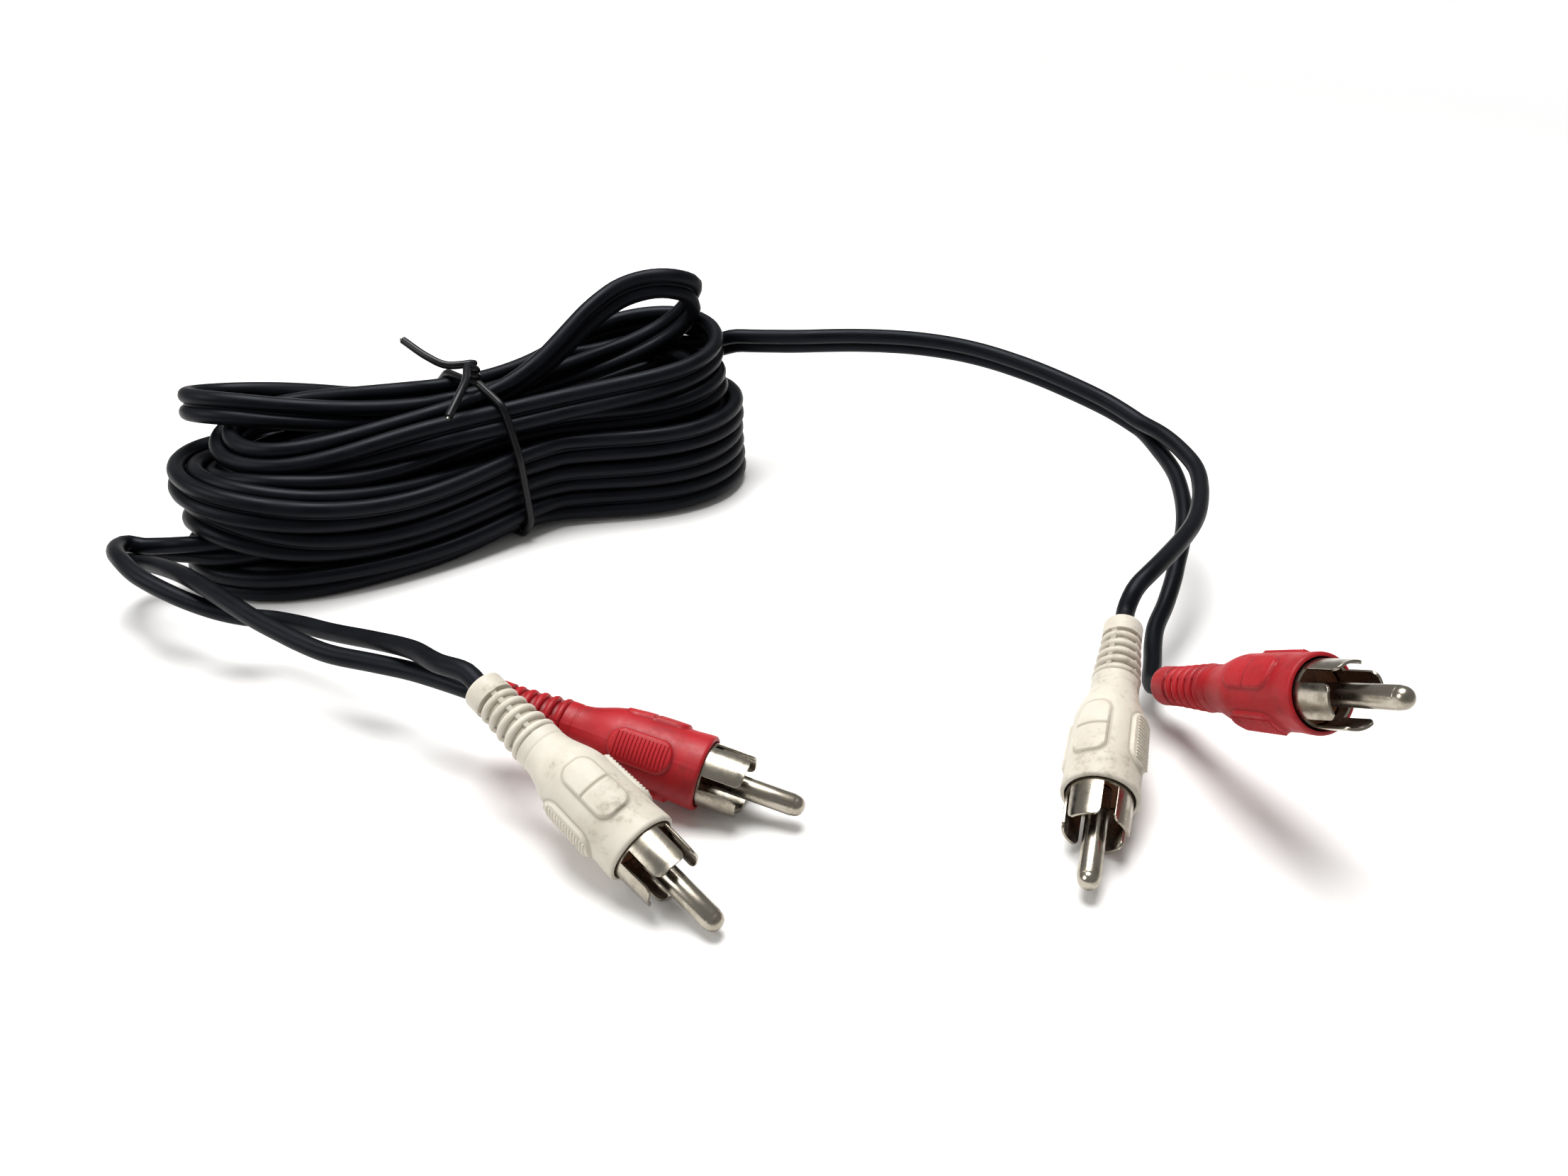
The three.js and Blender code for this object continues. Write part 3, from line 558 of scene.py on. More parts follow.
def hold_shape(strands, step):
    """Bends softly, keeps the strands' length, and keeps them side by side."""
    strands = strands - STIFFNESS * uneven(uneven(strands))
    move = keep_apart(strands[:, :-1], strands[:, 1:], step, STRETCH_SHARE)
    strands[:, :-1] += move
    strands[:, 1:] -= move
    move = keep_apart(strands[0], strands[1], STRAND, PAIR_SHARE)
    strands[0] += move
    strands[1] -= move
    for a, b in ((0, 1), (1, 0)):
        move = keep_apart(strands[a, :-1], strands[b, 1:], math.hypot(step, STRAND), SHEAR_SHARE)
        strands[a, :-1] += move
        strands[b, 1:] -= move
    return strands


# %% [markdown]
# Contact is found between short straight pieces, not between points, because two strands that
# cross may be far from each other's points. All pairs are worked out at once.

# %% Contact between strands
SELF_REACH = 3  # pieces of one strand this close along it don't count as touching
PUSH = 1.6  # a little more than the overlap, which settles sooner


def near_pairs(strands, reach):
    """Pairs of straight pieces that lie close together and aren't neighbours on the cable."""
    middles = ((strands[:, 1:] + strands[:, :-1]) / 2).reshape(-1, 3)
    count = strands.shape[1] - 1
    square = (middles ** 2).sum(1)
    apart = square[:, None] + square[None] - 2 * middles @ middles.T
    i, j = np.nonzero(np.triu(apart < reach ** 2, 1))
    far = np.abs(i % count - j % count) > SELF_REACH
    return i[far] // count, i[far] % count, j[far] // count, j[far] % count


def nearest(a, b, c, d):
    """Shares along ab and cd at which the two straight pieces come closest."""
    one, two, back = b - a, d - c, a - c
    dot = lambda p, q: (p * q).sum(1)
    aa, ee, ff, cc, bb = dot(one, one), dot(two, two), dot(two, back), dot(one, back), dot(one, two)
    s = np.clip((bb * ff - cc * ee) / np.maximum(aa * ee - bb * bb, 1e-9), 0, 1)
    t = np.clip((bb * s + ff) / ee, 0, 1)
    return np.clip((bb * t - cc) / aa, 0, 1), t


def push_apart(strands, pairs):
    """Moves touching pieces away from each other, and says how deep they were."""
    si, i, sj, j = pairs
    s, t = nearest(strands[si, i], strands[si, i + 1], strands[sj, j], strands[sj, j + 1])
    s, t = s[:, None], t[:, None]
    first = strands[si, i] * (1 - s) + strands[si, i + 1] * s
    second = strands[sj, j] * (1 - t) + strands[sj, j + 1] * t
    gap = np.linalg.norm(first - second, axis=1, keepdims=True)
    deep = np.maximum(STRAND - gap, 0)
    push = deep / 2 * (first - second) / np.maximum(gap, 1e-6)
    move, weight = np.zeros_like(strands), np.zeros(strands.shape[:2])
    ends = ((si, i, 1 - s, 1), (si, i + 1, s, 1), (sj, j, 1 - t, -1), (sj, j + 1, t, -1))
    for row, at, share, sign in ends:
        np.add.at(move, (row, at), sign * push * share)
        np.add.at(weight, (row, at), (share * (deep > 0))[:, 0])
    return strands + PUSH * move / np.maximum(weight, 1)[..., None], deep


# %% [markdown]
# The tie keeps everything near its plane inside a rectangle as wide as the hank's waist. It
# passes below the hank too, so the strands there lie on it and not on the floor.

# %% The tie's squeeze
TIE_TURN = math.radians(27)
TIE_DIAMETER = 1.5
TIE_NORMAL = ALONG * math.cos(TIE_TURN) + ACROSS * math.sin(TIE_TURN)
TIE_ACROSS = -ALONG * math.sin(TIE_TURN) + ACROSS * math.cos(TIE_TURN)
TIE_MIDDLE = from_hank([[TIE_OFFSET, 0, 0]])[0]
TIE_SLACK = 0.4
TIE_TOP = HANK_HEIGHT + 2.2
FULL_SQUEEZE = 2  # this near to the tie's plane its pull is full, and it fades over SQUEEZE_FADE
SQUEEZE_FADE = 10
TOP_SQUEEZE = 4  # this near to the tie's plane nothing stands above its top
FLOOR_SLACK = 0.05
RIDE_SLACK = 0.1
RIDE_LENGTH = 8  # in which the strands come down from the tie to the floor


def from_tie(strands):
    """How far points are from the tie's plane."""
    return np.abs((strands - TIE_MIDDLE) @ TIE_NORMAL)


def squeeze(strands):
    """Pulls in what stands outside the tie's loop, near the tie."""
    away = from_tie(strands)
    side = (strands - TIE_MIDDLE) @ TIE_ACROSS
    limit = HANK_WAIST / 2 - STRAND / 2 - TIE_SLACK
    near = np.clip(1 - (away - FULL_SQUEEZE) / SQUEEZE_FADE, 0, 1)
    outside = np.clip(np.abs(side) - limit, 0, None) * np.sign(side) * near
    strands = strands - outside[..., None] * TIE_ACROSS
    top = TIE_TOP - STRAND / 2
    strands[..., 2] -= np.clip(strands[..., 2] - top, 0, None) * (away < TOP_SQUEEZE)
    return strands


def lowest(strands):
    """The lowest height for a strand's middle: on the floor, or on the tie where it passes below."""
    on_tie = np.clip(1.3 - from_tie(strands) / RIDE_LENGTH, 0, 1)
    return STRAND / 2 + FLOOR_SLACK + (TIE_DIAMETER + RIDE_SLACK) * on_tie


# %% The settling loop
ROUNDS = 300
NEW_PAIRS_EVERY = 8
PULL = 0.06  # towards the drawn place. It fades to nothing in PULL_ROUNDS
PULL_ROUNDS = 0.6 * ROUNDS
SAG = 0.015
SHAPE_PASSES = 3
HELD_START = 3  # points at the left end
HELD_REACH = 54  # along the hank
HELD_HEIGHT = 36


def settle(strands, step, held):
    """Lets the strands find room. Held points stay where they were drawn."""
    drawn = strands.copy()
    for k in range(ROUNDS):
        if k % NEW_PAIRS_EVERY == 0:
            pairs = near_pairs(strands, step + STRAND + 1.2)
        strands = strands + PULL * max(0.0, 1 - k / PULL_ROUNDS) * (drawn - strands)
        strands[..., 2] -= SAG
        for _ in range(SHAPE_PASSES):
            strands = hold_shape(strands, step)
        strands, deep = push_apart(strands, pairs)
        strands[..., 2] = np.maximum(strands[..., 2], lowest(strands))
        strands = squeeze(strands)
        strands[:, held] = drawn[:, held]
    left, places = deep[deep > 0].mean().round(3), int((deep > 0.3).sum())
    print("still overlapping, mm: mean", left, "and more than 0.3 at", places, "places")
    return strands


def held_points(line):
    """The ends outside the hank and the top of the raised loop stay where they were drawn."""
    numbers = np.arange(len(line))
    return (numbers < HELD_START) | (numbers > last_within(line, HELD_REACH)) | (line[:, 2] > HELD_HEIGHT)


step = length_of(middle_line) / (len(middle_line) - 1)
strands = settle(two_strands(middle_line), step, held_points(middle_line))
settled_line = strands.mean(axis=0)
print("settled length, mm:", round(length_of(settled_line)))

# %% [markdown]
# ## Sheaths by Geometry Nodes
#
# Everything round that follows a path, the cable's strands, the leads and the tie, is grown by one
# tree: the path becomes a smooth curve, the curve is cut into even steps, and a circle is swept
# along it. A second tree sets parts of rings along an axis, for the boot's strain-relief rings and
# the ribs on its grips. A third sets copies round an axis, for the petals of the ground shell.

# %% Starting, ending and running a tree
def new_tree(name, sizes):
    """A Geometry Nodes tree with a mesh in, a mesh out and named sizes."""
    tree = bpy.data.node_groups.new(name, "GeometryNodeTree")
    tree.interface.new_socket("Mesh", in_out="INPUT", socket_type="NodeSocketGeometry")
    for label, kind in sizes.items():
        tree.interface.new_socket(label, in_out="INPUT", socket_type="NodeSocket" + kind)
    tree.interface.new_socket("Mesh", in_out="OUTPUT", socket_type="NodeSocketGeometry")
    return tree, node(tree, "NodeGroupInput").outputs


def end_tree(tree, geometry, finish):
    real = node(tree, "GeometryNodeRealizeInstances", {"Geometry": geometry})
    coated = node(tree, "GeometryNodeSetMaterial", {"Geometry": real.outputs["Geometry"], "Material": finish})
    node(tree, "NodeGroupOutput", {"Mesh": coated.outputs["Geometry"]})


def grow(name, tree, start, sizes):
    """Runs a tree on a mesh and keeps what it makes as a plain mesh."""
    holder = into_scene(name, start)
    modifier = holder.modifiers.new("grow", "NODES")
    modifier.node_group = tree
    for item in tree.interface.items_tree:
        if item.in_out == "INPUT" and item.name in sizes:
            modifier[item.identifier] = sizes[item.name]
    made = holder.evaluated_get(bpy.context.evaluated_depsgraph_get())
    mesh = bpy.data.meshes.new_from_object(made)
    holder.modifiers.clear()
    holder.data = mesh
    mesh.name = name
    shade(mesh)
    return holder


# %% The sheath tree
def swept(tree, line, radius, sides):
    """A round bar along a curve, closed at its ends."""
    circle = node(tree, "GeometryNodeCurvePrimitiveCircle", {"Resolution": sides, "Radius": radius})
    inputs = {"Curve": line, "Profile Curve": circle.outputs["Curve"], "Fill Caps": True}
    return node(tree, "GeometryNodeCurveToMesh", inputs).outputs["Mesh"]


def sheath_tree():
    sizes = {"Radius": "Float", "Sides": "Int", "Step": "Float", "Finish": "Material"}
    tree, given = new_tree("sheath along a path", sizes)
    line = node(tree, "GeometryNodeMeshToCurve", {"Mesh": given["Mesh"]}).outputs["Curve"]
    smooth = node(tree, "GeometryNodeCurveSplineType", {"Curve": line}, spline_type="CATMULL_ROM")
    inputs = {"Curve": smooth.outputs["Curve"], "Length": given["Step"]}
    even = node(tree, "GeometryNodeResampleCurve", inputs, mode="LENGTH").outputs["Curve"]
    end_tree(tree, swept(tree, even, given["Radius"], given["Sides"]), given["Finish"])
    return tree


SHEATH = sheath_tree()


def sheath(name, path, diameter, finish, sides=16, step=1.2):
    """A round sheath of a diameter along a path, all in millimetres."""
    start = new_mesh(name + "_path", path, edges=[(i, i + 1) for i in range(len(path) - 1)])
    sizes = {"Radius": diameter / 2000, "Sides": sides, "Step": step / 1000, "Finish": finish}
    return grow(name, SHEATH, start, sizes)


# %% [markdown]
# ## The twin cable
#
# Two jackets and the thin web that joins them make the figure-8 section. In the part, the hank is
# one solid block. Here it is the whole cable, more than three metres of it, in its turns.

# %% The twin cable as a piece
WEB = 1.3  # the web's thickness between the two jackets

jackets = [sheath(f"jacket_{i}", strands[i], STRAND, BLACK_PVC, sides=14, step=1.5) for i in (0, 1)]
web = sheath("web", settled_line, WEB, BLACK_PVC, sides=8, step=1.5)
twin_cable = join("twin_cable", jackets + [web])
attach(twin_cable, "root")
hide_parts("cable_hank", "raised_loop", "left_twin_cable", "right_twin_cable")

# %% [markdown]
# ## The plugs' places
#
# Each plug is drawn along its own Y axis, with y = 0 at the front face of its boot, and is then
# laid where it lies on the table: a yaw, a pitch, and a roll about its own axis. A plug rests on
# whichever rim would meet the table first, so its height follows from its sizes.

# %% Plug sizes and places
BOOT_LENGTH = 34.3
COLLAR_RADIUS = 3.05
PIN_RADIUS = 1.6
PIN_REACH = 14.9
SHELL_RADIUS = 4.65
SHELL_REACH = 6.0
FLOOR_GAP = 0.1

PLUGS = {  # end of the hank, place of the boot's front face, yaw, pitch, roll, lift
    "left_white": (-1, (92.8, -78.6), -42, -17, 14, 0),
    "left_red": (-1, (100.4, -62.6), -18.5, -9, 20, 0),
    "right_white": (1, (53.5, -109.1), -106.4, -12, 30, 0),
    "right_red": (1, (79.7, -110.5), -68.2, 33, 0, 4),
}


def plug_place(name):
    """Where a plug's front face is, and its side, axis and up directions as rows."""
    end, front, yaw, pitch, roll, lift = PLUGS[name]
    yaw, pitch, roll = np.radians([yaw, pitch, roll])
    flat = math.cos(pitch)
    axis = np.array([flat * math.cos(yaw), flat * math.sin(yaw), math.sin(pitch)])
    level = np.cross(UP, axis)
    level /= np.linalg.norm(level)
    above = np.cross(axis, level)
    up = above * math.cos(roll) + np.cross(axis, above) * math.sin(roll)
    tip = (PIN_REACH - PIN_RADIUS, PIN_RADIUS / flat)
    rims = [(SHELL_REACH, SHELL_RADIUS), tip, (-BOOT_LENGTH, COLLAR_RADIUS)]
    drop = max(radius * flat - reach * math.sin(pitch) for reach, radius in rims)
    return from_end(end, (*front, drop + FLOOR_GAP + lift)), np.array([np.cross(axis, up), axis, up])


def lay_plug(piece, name, roll=0):
    """Moves a piece drawn along Y to its plug's place, in its mesh. A roll turns it on its axis."""
    front, (side, axis, up) = plug_place(name)
    c, s = math.cos(math.radians(roll)), math.sin(math.radians(roll))
    directions = np.array([side * c - up * s, axis, up * c + side * s])
    drawn = np.empty(len(piece.data.vertices) * 3)
    piece.data.vertices.foreach_get("co", drawn)
    laid = front / 1000 + drawn.reshape(-1, 3) @ directions
    piece.data.vertices.foreach_set("co", laid.ravel())
    piece.data.update()


def finish_piece(piece, slot, *nodes):
    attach(piece, "root")
    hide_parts(*nodes)


for name in PLUGS:
    print(name, "front face at, mm:", plug_place(name)[0].round(1))

# %% [markdown]
# ## The boot
#
# The boot is one moulding: a collar and five rings that let it flex, a neck, a cone and a barrel
# with four grips, two smooth ones and two ribbed ones. Its main shape is a rule: for each place
# along the axis and each angle round it, there is a radius. Rounded-rectangle grips are added by
# their distance from the rectangle's edge, so that they rise in a soft step.

# %% The boot's rule
BARREL_LENGTH = 14.8
CONE_LENGTH = 5.4
NECK_RADIUS = 3.55
SHOULDER_RADIUS = 5.15
FRONT_RADIUS = 5.55
RING_COUNT = 5
RING_PITCH = 1.87
RINGS_START = -BOOT_LENGTH + 3.0
RINGS_END = RINGS_START + RING_COUNT * RING_PITCH
RING_HEIGHT = 0.62
RING_EASE = 0.3
CONE_START = -BARREL_LENGTH - CONE_LENGTH
CONE_RUN_ON = 1.5  # how far the cone eases into the barrel
EDGE = 0.45  # radius of the outer edges
GRIP_LENGTH = 9.6
GRIP_WIDTH = 5.0
GRIP_MIDDLE = -9.1
GRIP_PROUD = 0.45
GRIP_AT = 5.4  # the radius at which a grip's width is measured
GRIP_LINE = -9.3  # the line across a smooth grip
SMOOTH_CORNER = 1.8
RIBBED_CORNER = 2.3
WEB_HEIGHT = 0.36  # four webs join the rings
SEAM_HEIGHT = 0.04


def ease(x):
    x = np.clip(x, 0, 1)
    return x * x * (3 - 2 * x)


def bell(x, width):
    return np.exp(-(x / width) ** 2)


def in_rings(y):
    """One between the first ring and the last, nought outside, with a soft step."""
    return ease((y - RINGS_START) / RING_EASE) * ease((RINGS_END - y) / RING_EASE)


def plain_radius(y):
    """The boot's radius without grips: collar, groove floor, neck, cone and barrel."""
    neck = np.clip((y - RINGS_START) / (RINGS_END - RINGS_START), 0, 1)
    radius = COLLAR_RADIUS + (NECK_RADIUS - COLLAR_RADIUS) * neck - RING_HEIGHT * in_rings(y)
    cone = ease((y - CONE_START) / (CONE_LENGTH + CONE_RUN_ON))
    barrel = np.clip((y + BARREL_LENGTH) / BARREL_LENGTH, 0, 1)
    radius = radius + (SHOULDER_RADIUS - NECK_RADIUS) * cone + (FRONT_RADIUS - SHOULDER_RADIUS) * barrel
    waist, step = 0.1 * bell(y + 3.4, 1.5), 0.07 * bell(y - CONE_START, 0.18)
    return radius - waist - step


def grip_distance(y, arc, corner):
    """How far a point is outside a grip's rounded rectangle, negative inside."""
    a = np.abs(arc) - GRIP_WIDTH / 2 + corner
    b = np.abs(y - GRIP_MIDDLE) - GRIP_LENGTH / 2 + corner
    return np.hypot(np.maximum(a, 0), np.maximum(b, 0)) + np.minimum(np.maximum(a, b), 0) - corner


def boot_relief(y, angle):
    """The radius at a place, and how deep in a crease it lies from 0 to 1, for painted shade."""
    radius = plain_radius(y)
    quarter = (angle + math.pi / 4) % (math.pi / 2) - math.pi / 4
    radius = radius + WEB_HEIGHT * ease((0.5 - np.abs(quarter) * radius) / 0.15) * in_rings(y)
    ribbed = np.abs(np.sin(angle)) > 0.7
    distance = grip_distance(y, quarter * GRIP_AT, np.where(ribbed, RIBBED_CORNER, SMOOTH_CORNER))
    on_grip = ease((0.15 - distance) / 0.4)
    flush_rear = 0.45 + 0.55 * ease((y + 14.5) / 5)  # a smooth grip sinks towards the cone
    radius = radius + GRIP_PROUD * np.where(ribbed, 1, flush_rear) * on_grip
    line = np.where(ribbed, 0, bell(y - GRIP_LINE, 0.22)) * on_grip
    radius = radius - 0.16 * line
    seam = np.where(ribbed, bell(quarter * radius, 0.14), 0) * (y > RINGS_END)
    radius = radius + SEAM_HEIGHT * seam * (1 - on_grip)
    grooves = 0.8 * (y > RINGS_START) * (y < RINGS_END)
    # how deep in a crease: grooves, the grip's line and its edge, which the finish darkens as painted shade
    crease = np.maximum(grooves, np.maximum(line, 0.7 * bell(distance - 0.25, 0.25)))
    return radius, np.clip(crease, 0, 1)


# %% The boot's body
BOOT_COLUMNS = 168
ROW_PITCH = 0.12
LEAD_BORE = STRAND / 2 + 0.02
HOLLOW = [  # (radius, y) from the mouth inwards: the shell's seat, room for the wires, and the lead's hole
    (4.95, 0), (4.95, -0.3), (4.95, -9.3), (4.05, -9.3), (4.05, -14.8), (2.1, -19.1), (2.1, -31.3),
    (LEAD_BORE, -31.3),
]


def boot_rows():
    """The boot's closed section, from its rear face to its front and back down the inside."""
    rear_centre, front_centre = COLLAR_RADIUS - EDGE, FRONT_RADIUS - EDGE
    rear = [(LEAD_BORE, -BOOT_LENGTH), (2.2, -BOOT_LENGTH)]
    for a in (0, 0.5, 1.0):
        rear.append((rear_centre + EDGE * math.sin(a), -BOOT_LENGTH + EDGE - EDGE * math.cos(a)))
    outside = [(None, y) for y in np.arange(-BOOT_LENGTH + EDGE, -EDGE + 0.01, ROW_PITCH)]
    front = [(front_centre + EDGE * math.cos(a), -EDGE + EDGE * math.sin(a)) for a in (0.5, 1.0, math.pi / 2)]
    return rear + outside + front + HOLLOW


def boot_body(name):
    angles = np.arange(BOOT_COLUMNS) * 2 * math.pi / BOOT_COLUMNS
    points, depths = [], []
    for plain, y in boot_rows():
        radius, depth = boot_relief(y, angles) if plain is None else (plain, 0 * angles)
        points.append(around(radius, y, angles))
        depths.append(depth)
    body = make_piece(name, np.vstack(points), sheet_faces(len(points), BOOT_COLUMNS, closed_rows=True))
    # the crease mark, which the boot's finish turns into painted shade
    body.data.attributes.new("depth", "FLOAT", "POINT").data.foreach_set("value", np.concatenate(depths))
    return body


# %% [markdown]
# The rings and the grips' ribs are arcs of a round bar, set along the axis at an even pitch, whose
# radius grows a little from one to the next. One tree makes both and joins them to the body.

# %% The tree for rings and ribs
def bars_tree():
    labels = ("First", "Pitch", "First Radius", "Growth", "Start Angle", "Sweep", "Bar")
    sizes = {"Count": "Int", **{label: "Float" for label in labels}, "Finish": "Material"}
    tree, given = new_tree("bars round an axis", sizes)
    arc = node(tree, "GeometryNodeCurveArc", {
        "Resolution": 72, "Radius": given["First Radius"], "Start Angle": given["Start Angle"],
        "Sweep Angle": given["Sweep"],
    })
    turned_up = {"Geometry": arc.outputs["Curve"], "Rotation": (math.pi / 2, 0, 0)}
    upright = node(tree, "GeometryNodeTransform", turned_up).outputs["Geometry"]
    index = node(tree, "GeometryNodeInputIndex").outputs["Index"]
    along = calculate(tree, "MULTIPLY_ADD", index, given["Pitch"], given["First"])
    size = calculate(tree, "MULTIPLY_ADD", index, given["Growth"], 1.0)
    place = node(tree, "ShaderNodeCombineXYZ", {"Y": along}).outputs["Vector"]
    scale = node(tree, "ShaderNodeCombineXYZ", {"X": size, "Y": 1.0, "Z": size}).outputs["Vector"]
    points = node(tree, "GeometryNodePoints", {"Count": given["Count"], "Position": place})
    bars = node(tree, "GeometryNodeInstanceOnPoints", {
        "Points": points.outputs[0], "Instance": swept(tree, upright, given["Bar"], 12), "Scale": scale,
    })
    both = node(tree, "GeometryNodeJoinGeometry")
    for part in (bars.outputs["Instances"], given["Mesh"]):
        tree.links.new(part, both.inputs["Geometry"])
    end_tree(tree, both.outputs["Geometry"], given["Finish"])
    return tree


BARS = bars_tree()


def add_bars(piece, count, first, pitch, radii, arc, bar, finish):
    """Sets bars round a piece's axis, from a first radius to a last. An arc is a start and a sweep."""
    sizes = {
        "Count": count, "First": first / 1000, "Pitch": pitch / 1000, "First Radius": radii[0] / 1000,
        "Growth": (radii[1] / radii[0] - 1) / (count - 1), "Start Angle": math.radians(arc[0]),
        "Sweep": math.radians(arc[1]), "Bar": bar / 1000, "Finish": finish,
    }
    name, start = piece.name, piece.data
    bpy.data.objects.remove(piece)
    return grow(name, BARS, start, sizes)


# %% [markdown]
# The plugs lie with their grips turned to the viewer as in the photograph, so the two red boots
# are turned on their shells.

# %% Four boots
FIRST_RING = RINGS_START + RING_PITCH * 0.62
RING_RADII = (COLLAR_RADIUS - RING_HEIGHT + 0.06, NECK_RADIUS - RING_HEIGHT)
RIB_COUNT = 14
RIB_BAR = 0.2
RIB_MARGIN = 1.0  # from a grip's end to its first rib
FIRST_RIB = GRIP_MIDDLE - GRIP_LENGTH / 2 + RIB_MARGIN
RIB_PITCH = (GRIP_LENGTH - 2 * RIB_MARGIN) / (RIB_COUNT - 1)
RIB_RADII = (5.6, 5.82)
RIB_ARCS = ((-18, 36), (162, 36))


def make_boot(name, finish):
    boot = boot_body(f"{name}_moulding")
    boot = add_bars(boot, RING_COUNT, FIRST_RING, RING_PITCH, RING_RADII, (0, 360), RING_HEIGHT, finish)
    for arc in RIB_ARCS:
        boot = add_bars(boot, RIB_COUNT, FIRST_RIB, RIB_PITCH, RIB_RADII, arc, RIB_BAR, finish)
    return boot


BOOT_ROLLS = {"left_white": 0, "left_red": -64, "right_white": 0, "right_red": 45}
boots = {}
for name in PLUGS:
    red = name.endswith("red")
    boots[name] = make_boot(name, RED_PVC if red else WHITE_PVC)
    lay_plug(boots[name], name, BOOT_ROLLS[name])
    finish_piece(boots[name], "red_pvc" if red else "white_pvc", f"{name}_boot")
    print(boots[name].name, "faces:", len(boots[name].data.polygons))

# %% [markdown]
# ## The metal
#
# The ground shell is a pressed cup. Its front is cut into four springy petals with rounded corners,
# so one petal is drawn and a tree sets four of it round the axis. The pin is turned, so its
# shape is a section spun round the axis, with a fine shoulder before its rounded nose.

# %% Turned shapes
COLUMNS = 64


def spin(section):
    """A ring of points for each (radius, y) pair of a section."""
    angles = np.arange(COLUMNS) * 2 * math.pi / COLUMNS
    return [around(radius, y, angles) for radius, y in section]


def turned(name, section, finish):
    """A closed section, spun round the axis."""
    faces = sheet_faces(len(section), COLUMNS, closed_rows=True)
    return make_piece(name, np.vstack(spin(section)), faces, finish, sharp=35)


def turned_solid(name, section, finish):
    """A section whose first and last points lie on the axis. Each becomes one point."""
    rings = spin(section[1:-1])
    points = np.vstack(rings + [[[0, section[0][1], 0]], [[0, section[-1][1], 0]]])
    faces = sheet_faces(len(rings), COLUMNS)
    first, last, top = len(points) - 2, len(points) - 1, (len(rings) - 1) * COLUMNS
    for j in range(COLUMNS):
        k = (j + 1) % COLUMNS
        faces += [(first, k, j), (last, top + j, top + k)]
    return make_piece(name, points, faces, finish, sharp=50)


# %% The petals
SHEET = 0.4
SHEET_EDGE = 0.05  # how much the sheet's edges are broken
SLOT_WIDTH = 2.1
PETAL_CORNER = 1.1
PETAL_ROOT = (-0.2, 0.2, 2.4)  # rows below the rounded corners
PETAL_BOW = 0.12  # how far a petal's tip is bent inwards


def petal_skins():
    """One petal as a bent plate, in the upright position: four skins from inside to outside."""
    half = math.pi / 4 - math.asin(SLOT_WIDTH / 2 / SHELL_RADIUS)
    corner = np.radians(np.linspace(0, 88, 9))
    reaches = np.concatenate([PETAL_ROOT, SHELL_REACH - PETAL_CORNER + PETAL_CORNER * np.sin(corner)])
    trims = np.concatenate([[0, 0, 0], PETAL_CORNER * (1 - np.cos(corner))])
    across = np.linspace(-1, 1, 17)
    skins = []
    for lift, pinch in ((0, SHEET_EDGE), (SHEET_EDGE, 0), (SHEET - SHEET_EDGE, 0), (SHEET, SHEET_EDGE)):
        rows = []
        for y, trim in zip(reaches, trims):
            radius = SHELL_RADIUS - SHEET + lift - PETAL_BOW * ease((y - 3.5) / 2.5)
            angles = across * (half - (trim + pinch) / SHELL_RADIUS)
            rows.append(around(radius, y - pinch * (y > SHELL_REACH - 0.1), angles))
        skins.append(np.array(rows))
    return np.array(skins)


def petal_mesh(name):
    skins = petal_skins()
    layers, rows, columns, _ = skins.shape
    at = lambda k, i, j: (k * rows + i) * columns + j
    faces = []
    for i in range(rows - 1):
        for j in range(columns - 1):
            faces.append((at(0, i, j), at(0, i + 1, j), at(0, i + 1, j + 1), at(0, i, j + 1)))
            faces.append((at(3, i, j), at(3, i, j + 1), at(3, i + 1, j + 1), at(3, i + 1, j)))
    rim = [(i, 0) for i in range(rows)] + [(rows - 1, j) for j in range(1, columns)]
    rim += [(i, columns - 1) for i in range(rows - 2, -1, -1)] + [(0, j) for j in range(columns - 2, 0, -1)]
    for k in range(layers - 1):
        for (i, j), (m, n) in zip(rim, rim[1:] + rim[:1]):
            faces.append((at(k, i, j), at(k + 1, i, j), at(k + 1, m, n), at(k, m, n)))
    return new_mesh(name, skins.reshape(-1, 3), faces=faces)


# %% The tree that sets copies round an axis
def copies_tree():
    tree, given = new_tree("copies round an axis", {"Count": "Int", "Finish": "Material"})
    index = node(tree, "GeometryNodeInputIndex").outputs["Index"]
    angle = calculate(tree, "MULTIPLY", index, calculate(tree, "DIVIDE", math.tau, given["Count"]))
    points = node(tree, "GeometryNodePoints", {"Count": given["Count"]})
    copies = node(tree, "GeometryNodeInstanceOnPoints", {
        "Points": points.outputs[0], "Instance": given["Mesh"],
        "Rotation": node(tree, "ShaderNodeCombineXYZ", {"Y": angle}).outputs["Vector"],
    })
    end_tree(tree, copies.outputs["Instances"], given["Finish"])
    return tree


COPIES = copies_tree()

# %% Shells, washers and pins
SHELL_DEPTH = 9.0
SHELL_HOLE = 2.7
INSULATOR_RECESS = 1.5
WASHER_HOLE = 1.4
WASHER_EDGE = 0.15
HUB_RADIUS = 2.4
HUB_LENGTH = 1.1
NOSE_LENGTH = 1.55
STEM_RADIUS = 1.1
STEM_FRONT = -1.2
CUP_RADIUS = 1.25
CUP_HOLE = 0.75
CUP_FRONT = -9.7
CUP_BACK = -13.7


def make_shell(name):
    inner, floor_y = SHELL_RADIUS - SHEET, -SHELL_DEPTH + SHEET
    cup = turned(f"{name}_cup", [
        (SHELL_HOLE, -SHELL_DEPTH), (SHELL_RADIUS, -SHELL_DEPTH), (SHELL_RADIUS, 0.3), (inner, 0.3),
        (inner, floor_y), (SHELL_HOLE, floor_y),
    ], NICKEL)
    petals = grow(f"{name}_petals", COPIES, petal_mesh(f"{name}_petal"), {"Count": 4, "Finish": NICKEL})
    return join(f"{name}_petal_shell", [cup, petals])


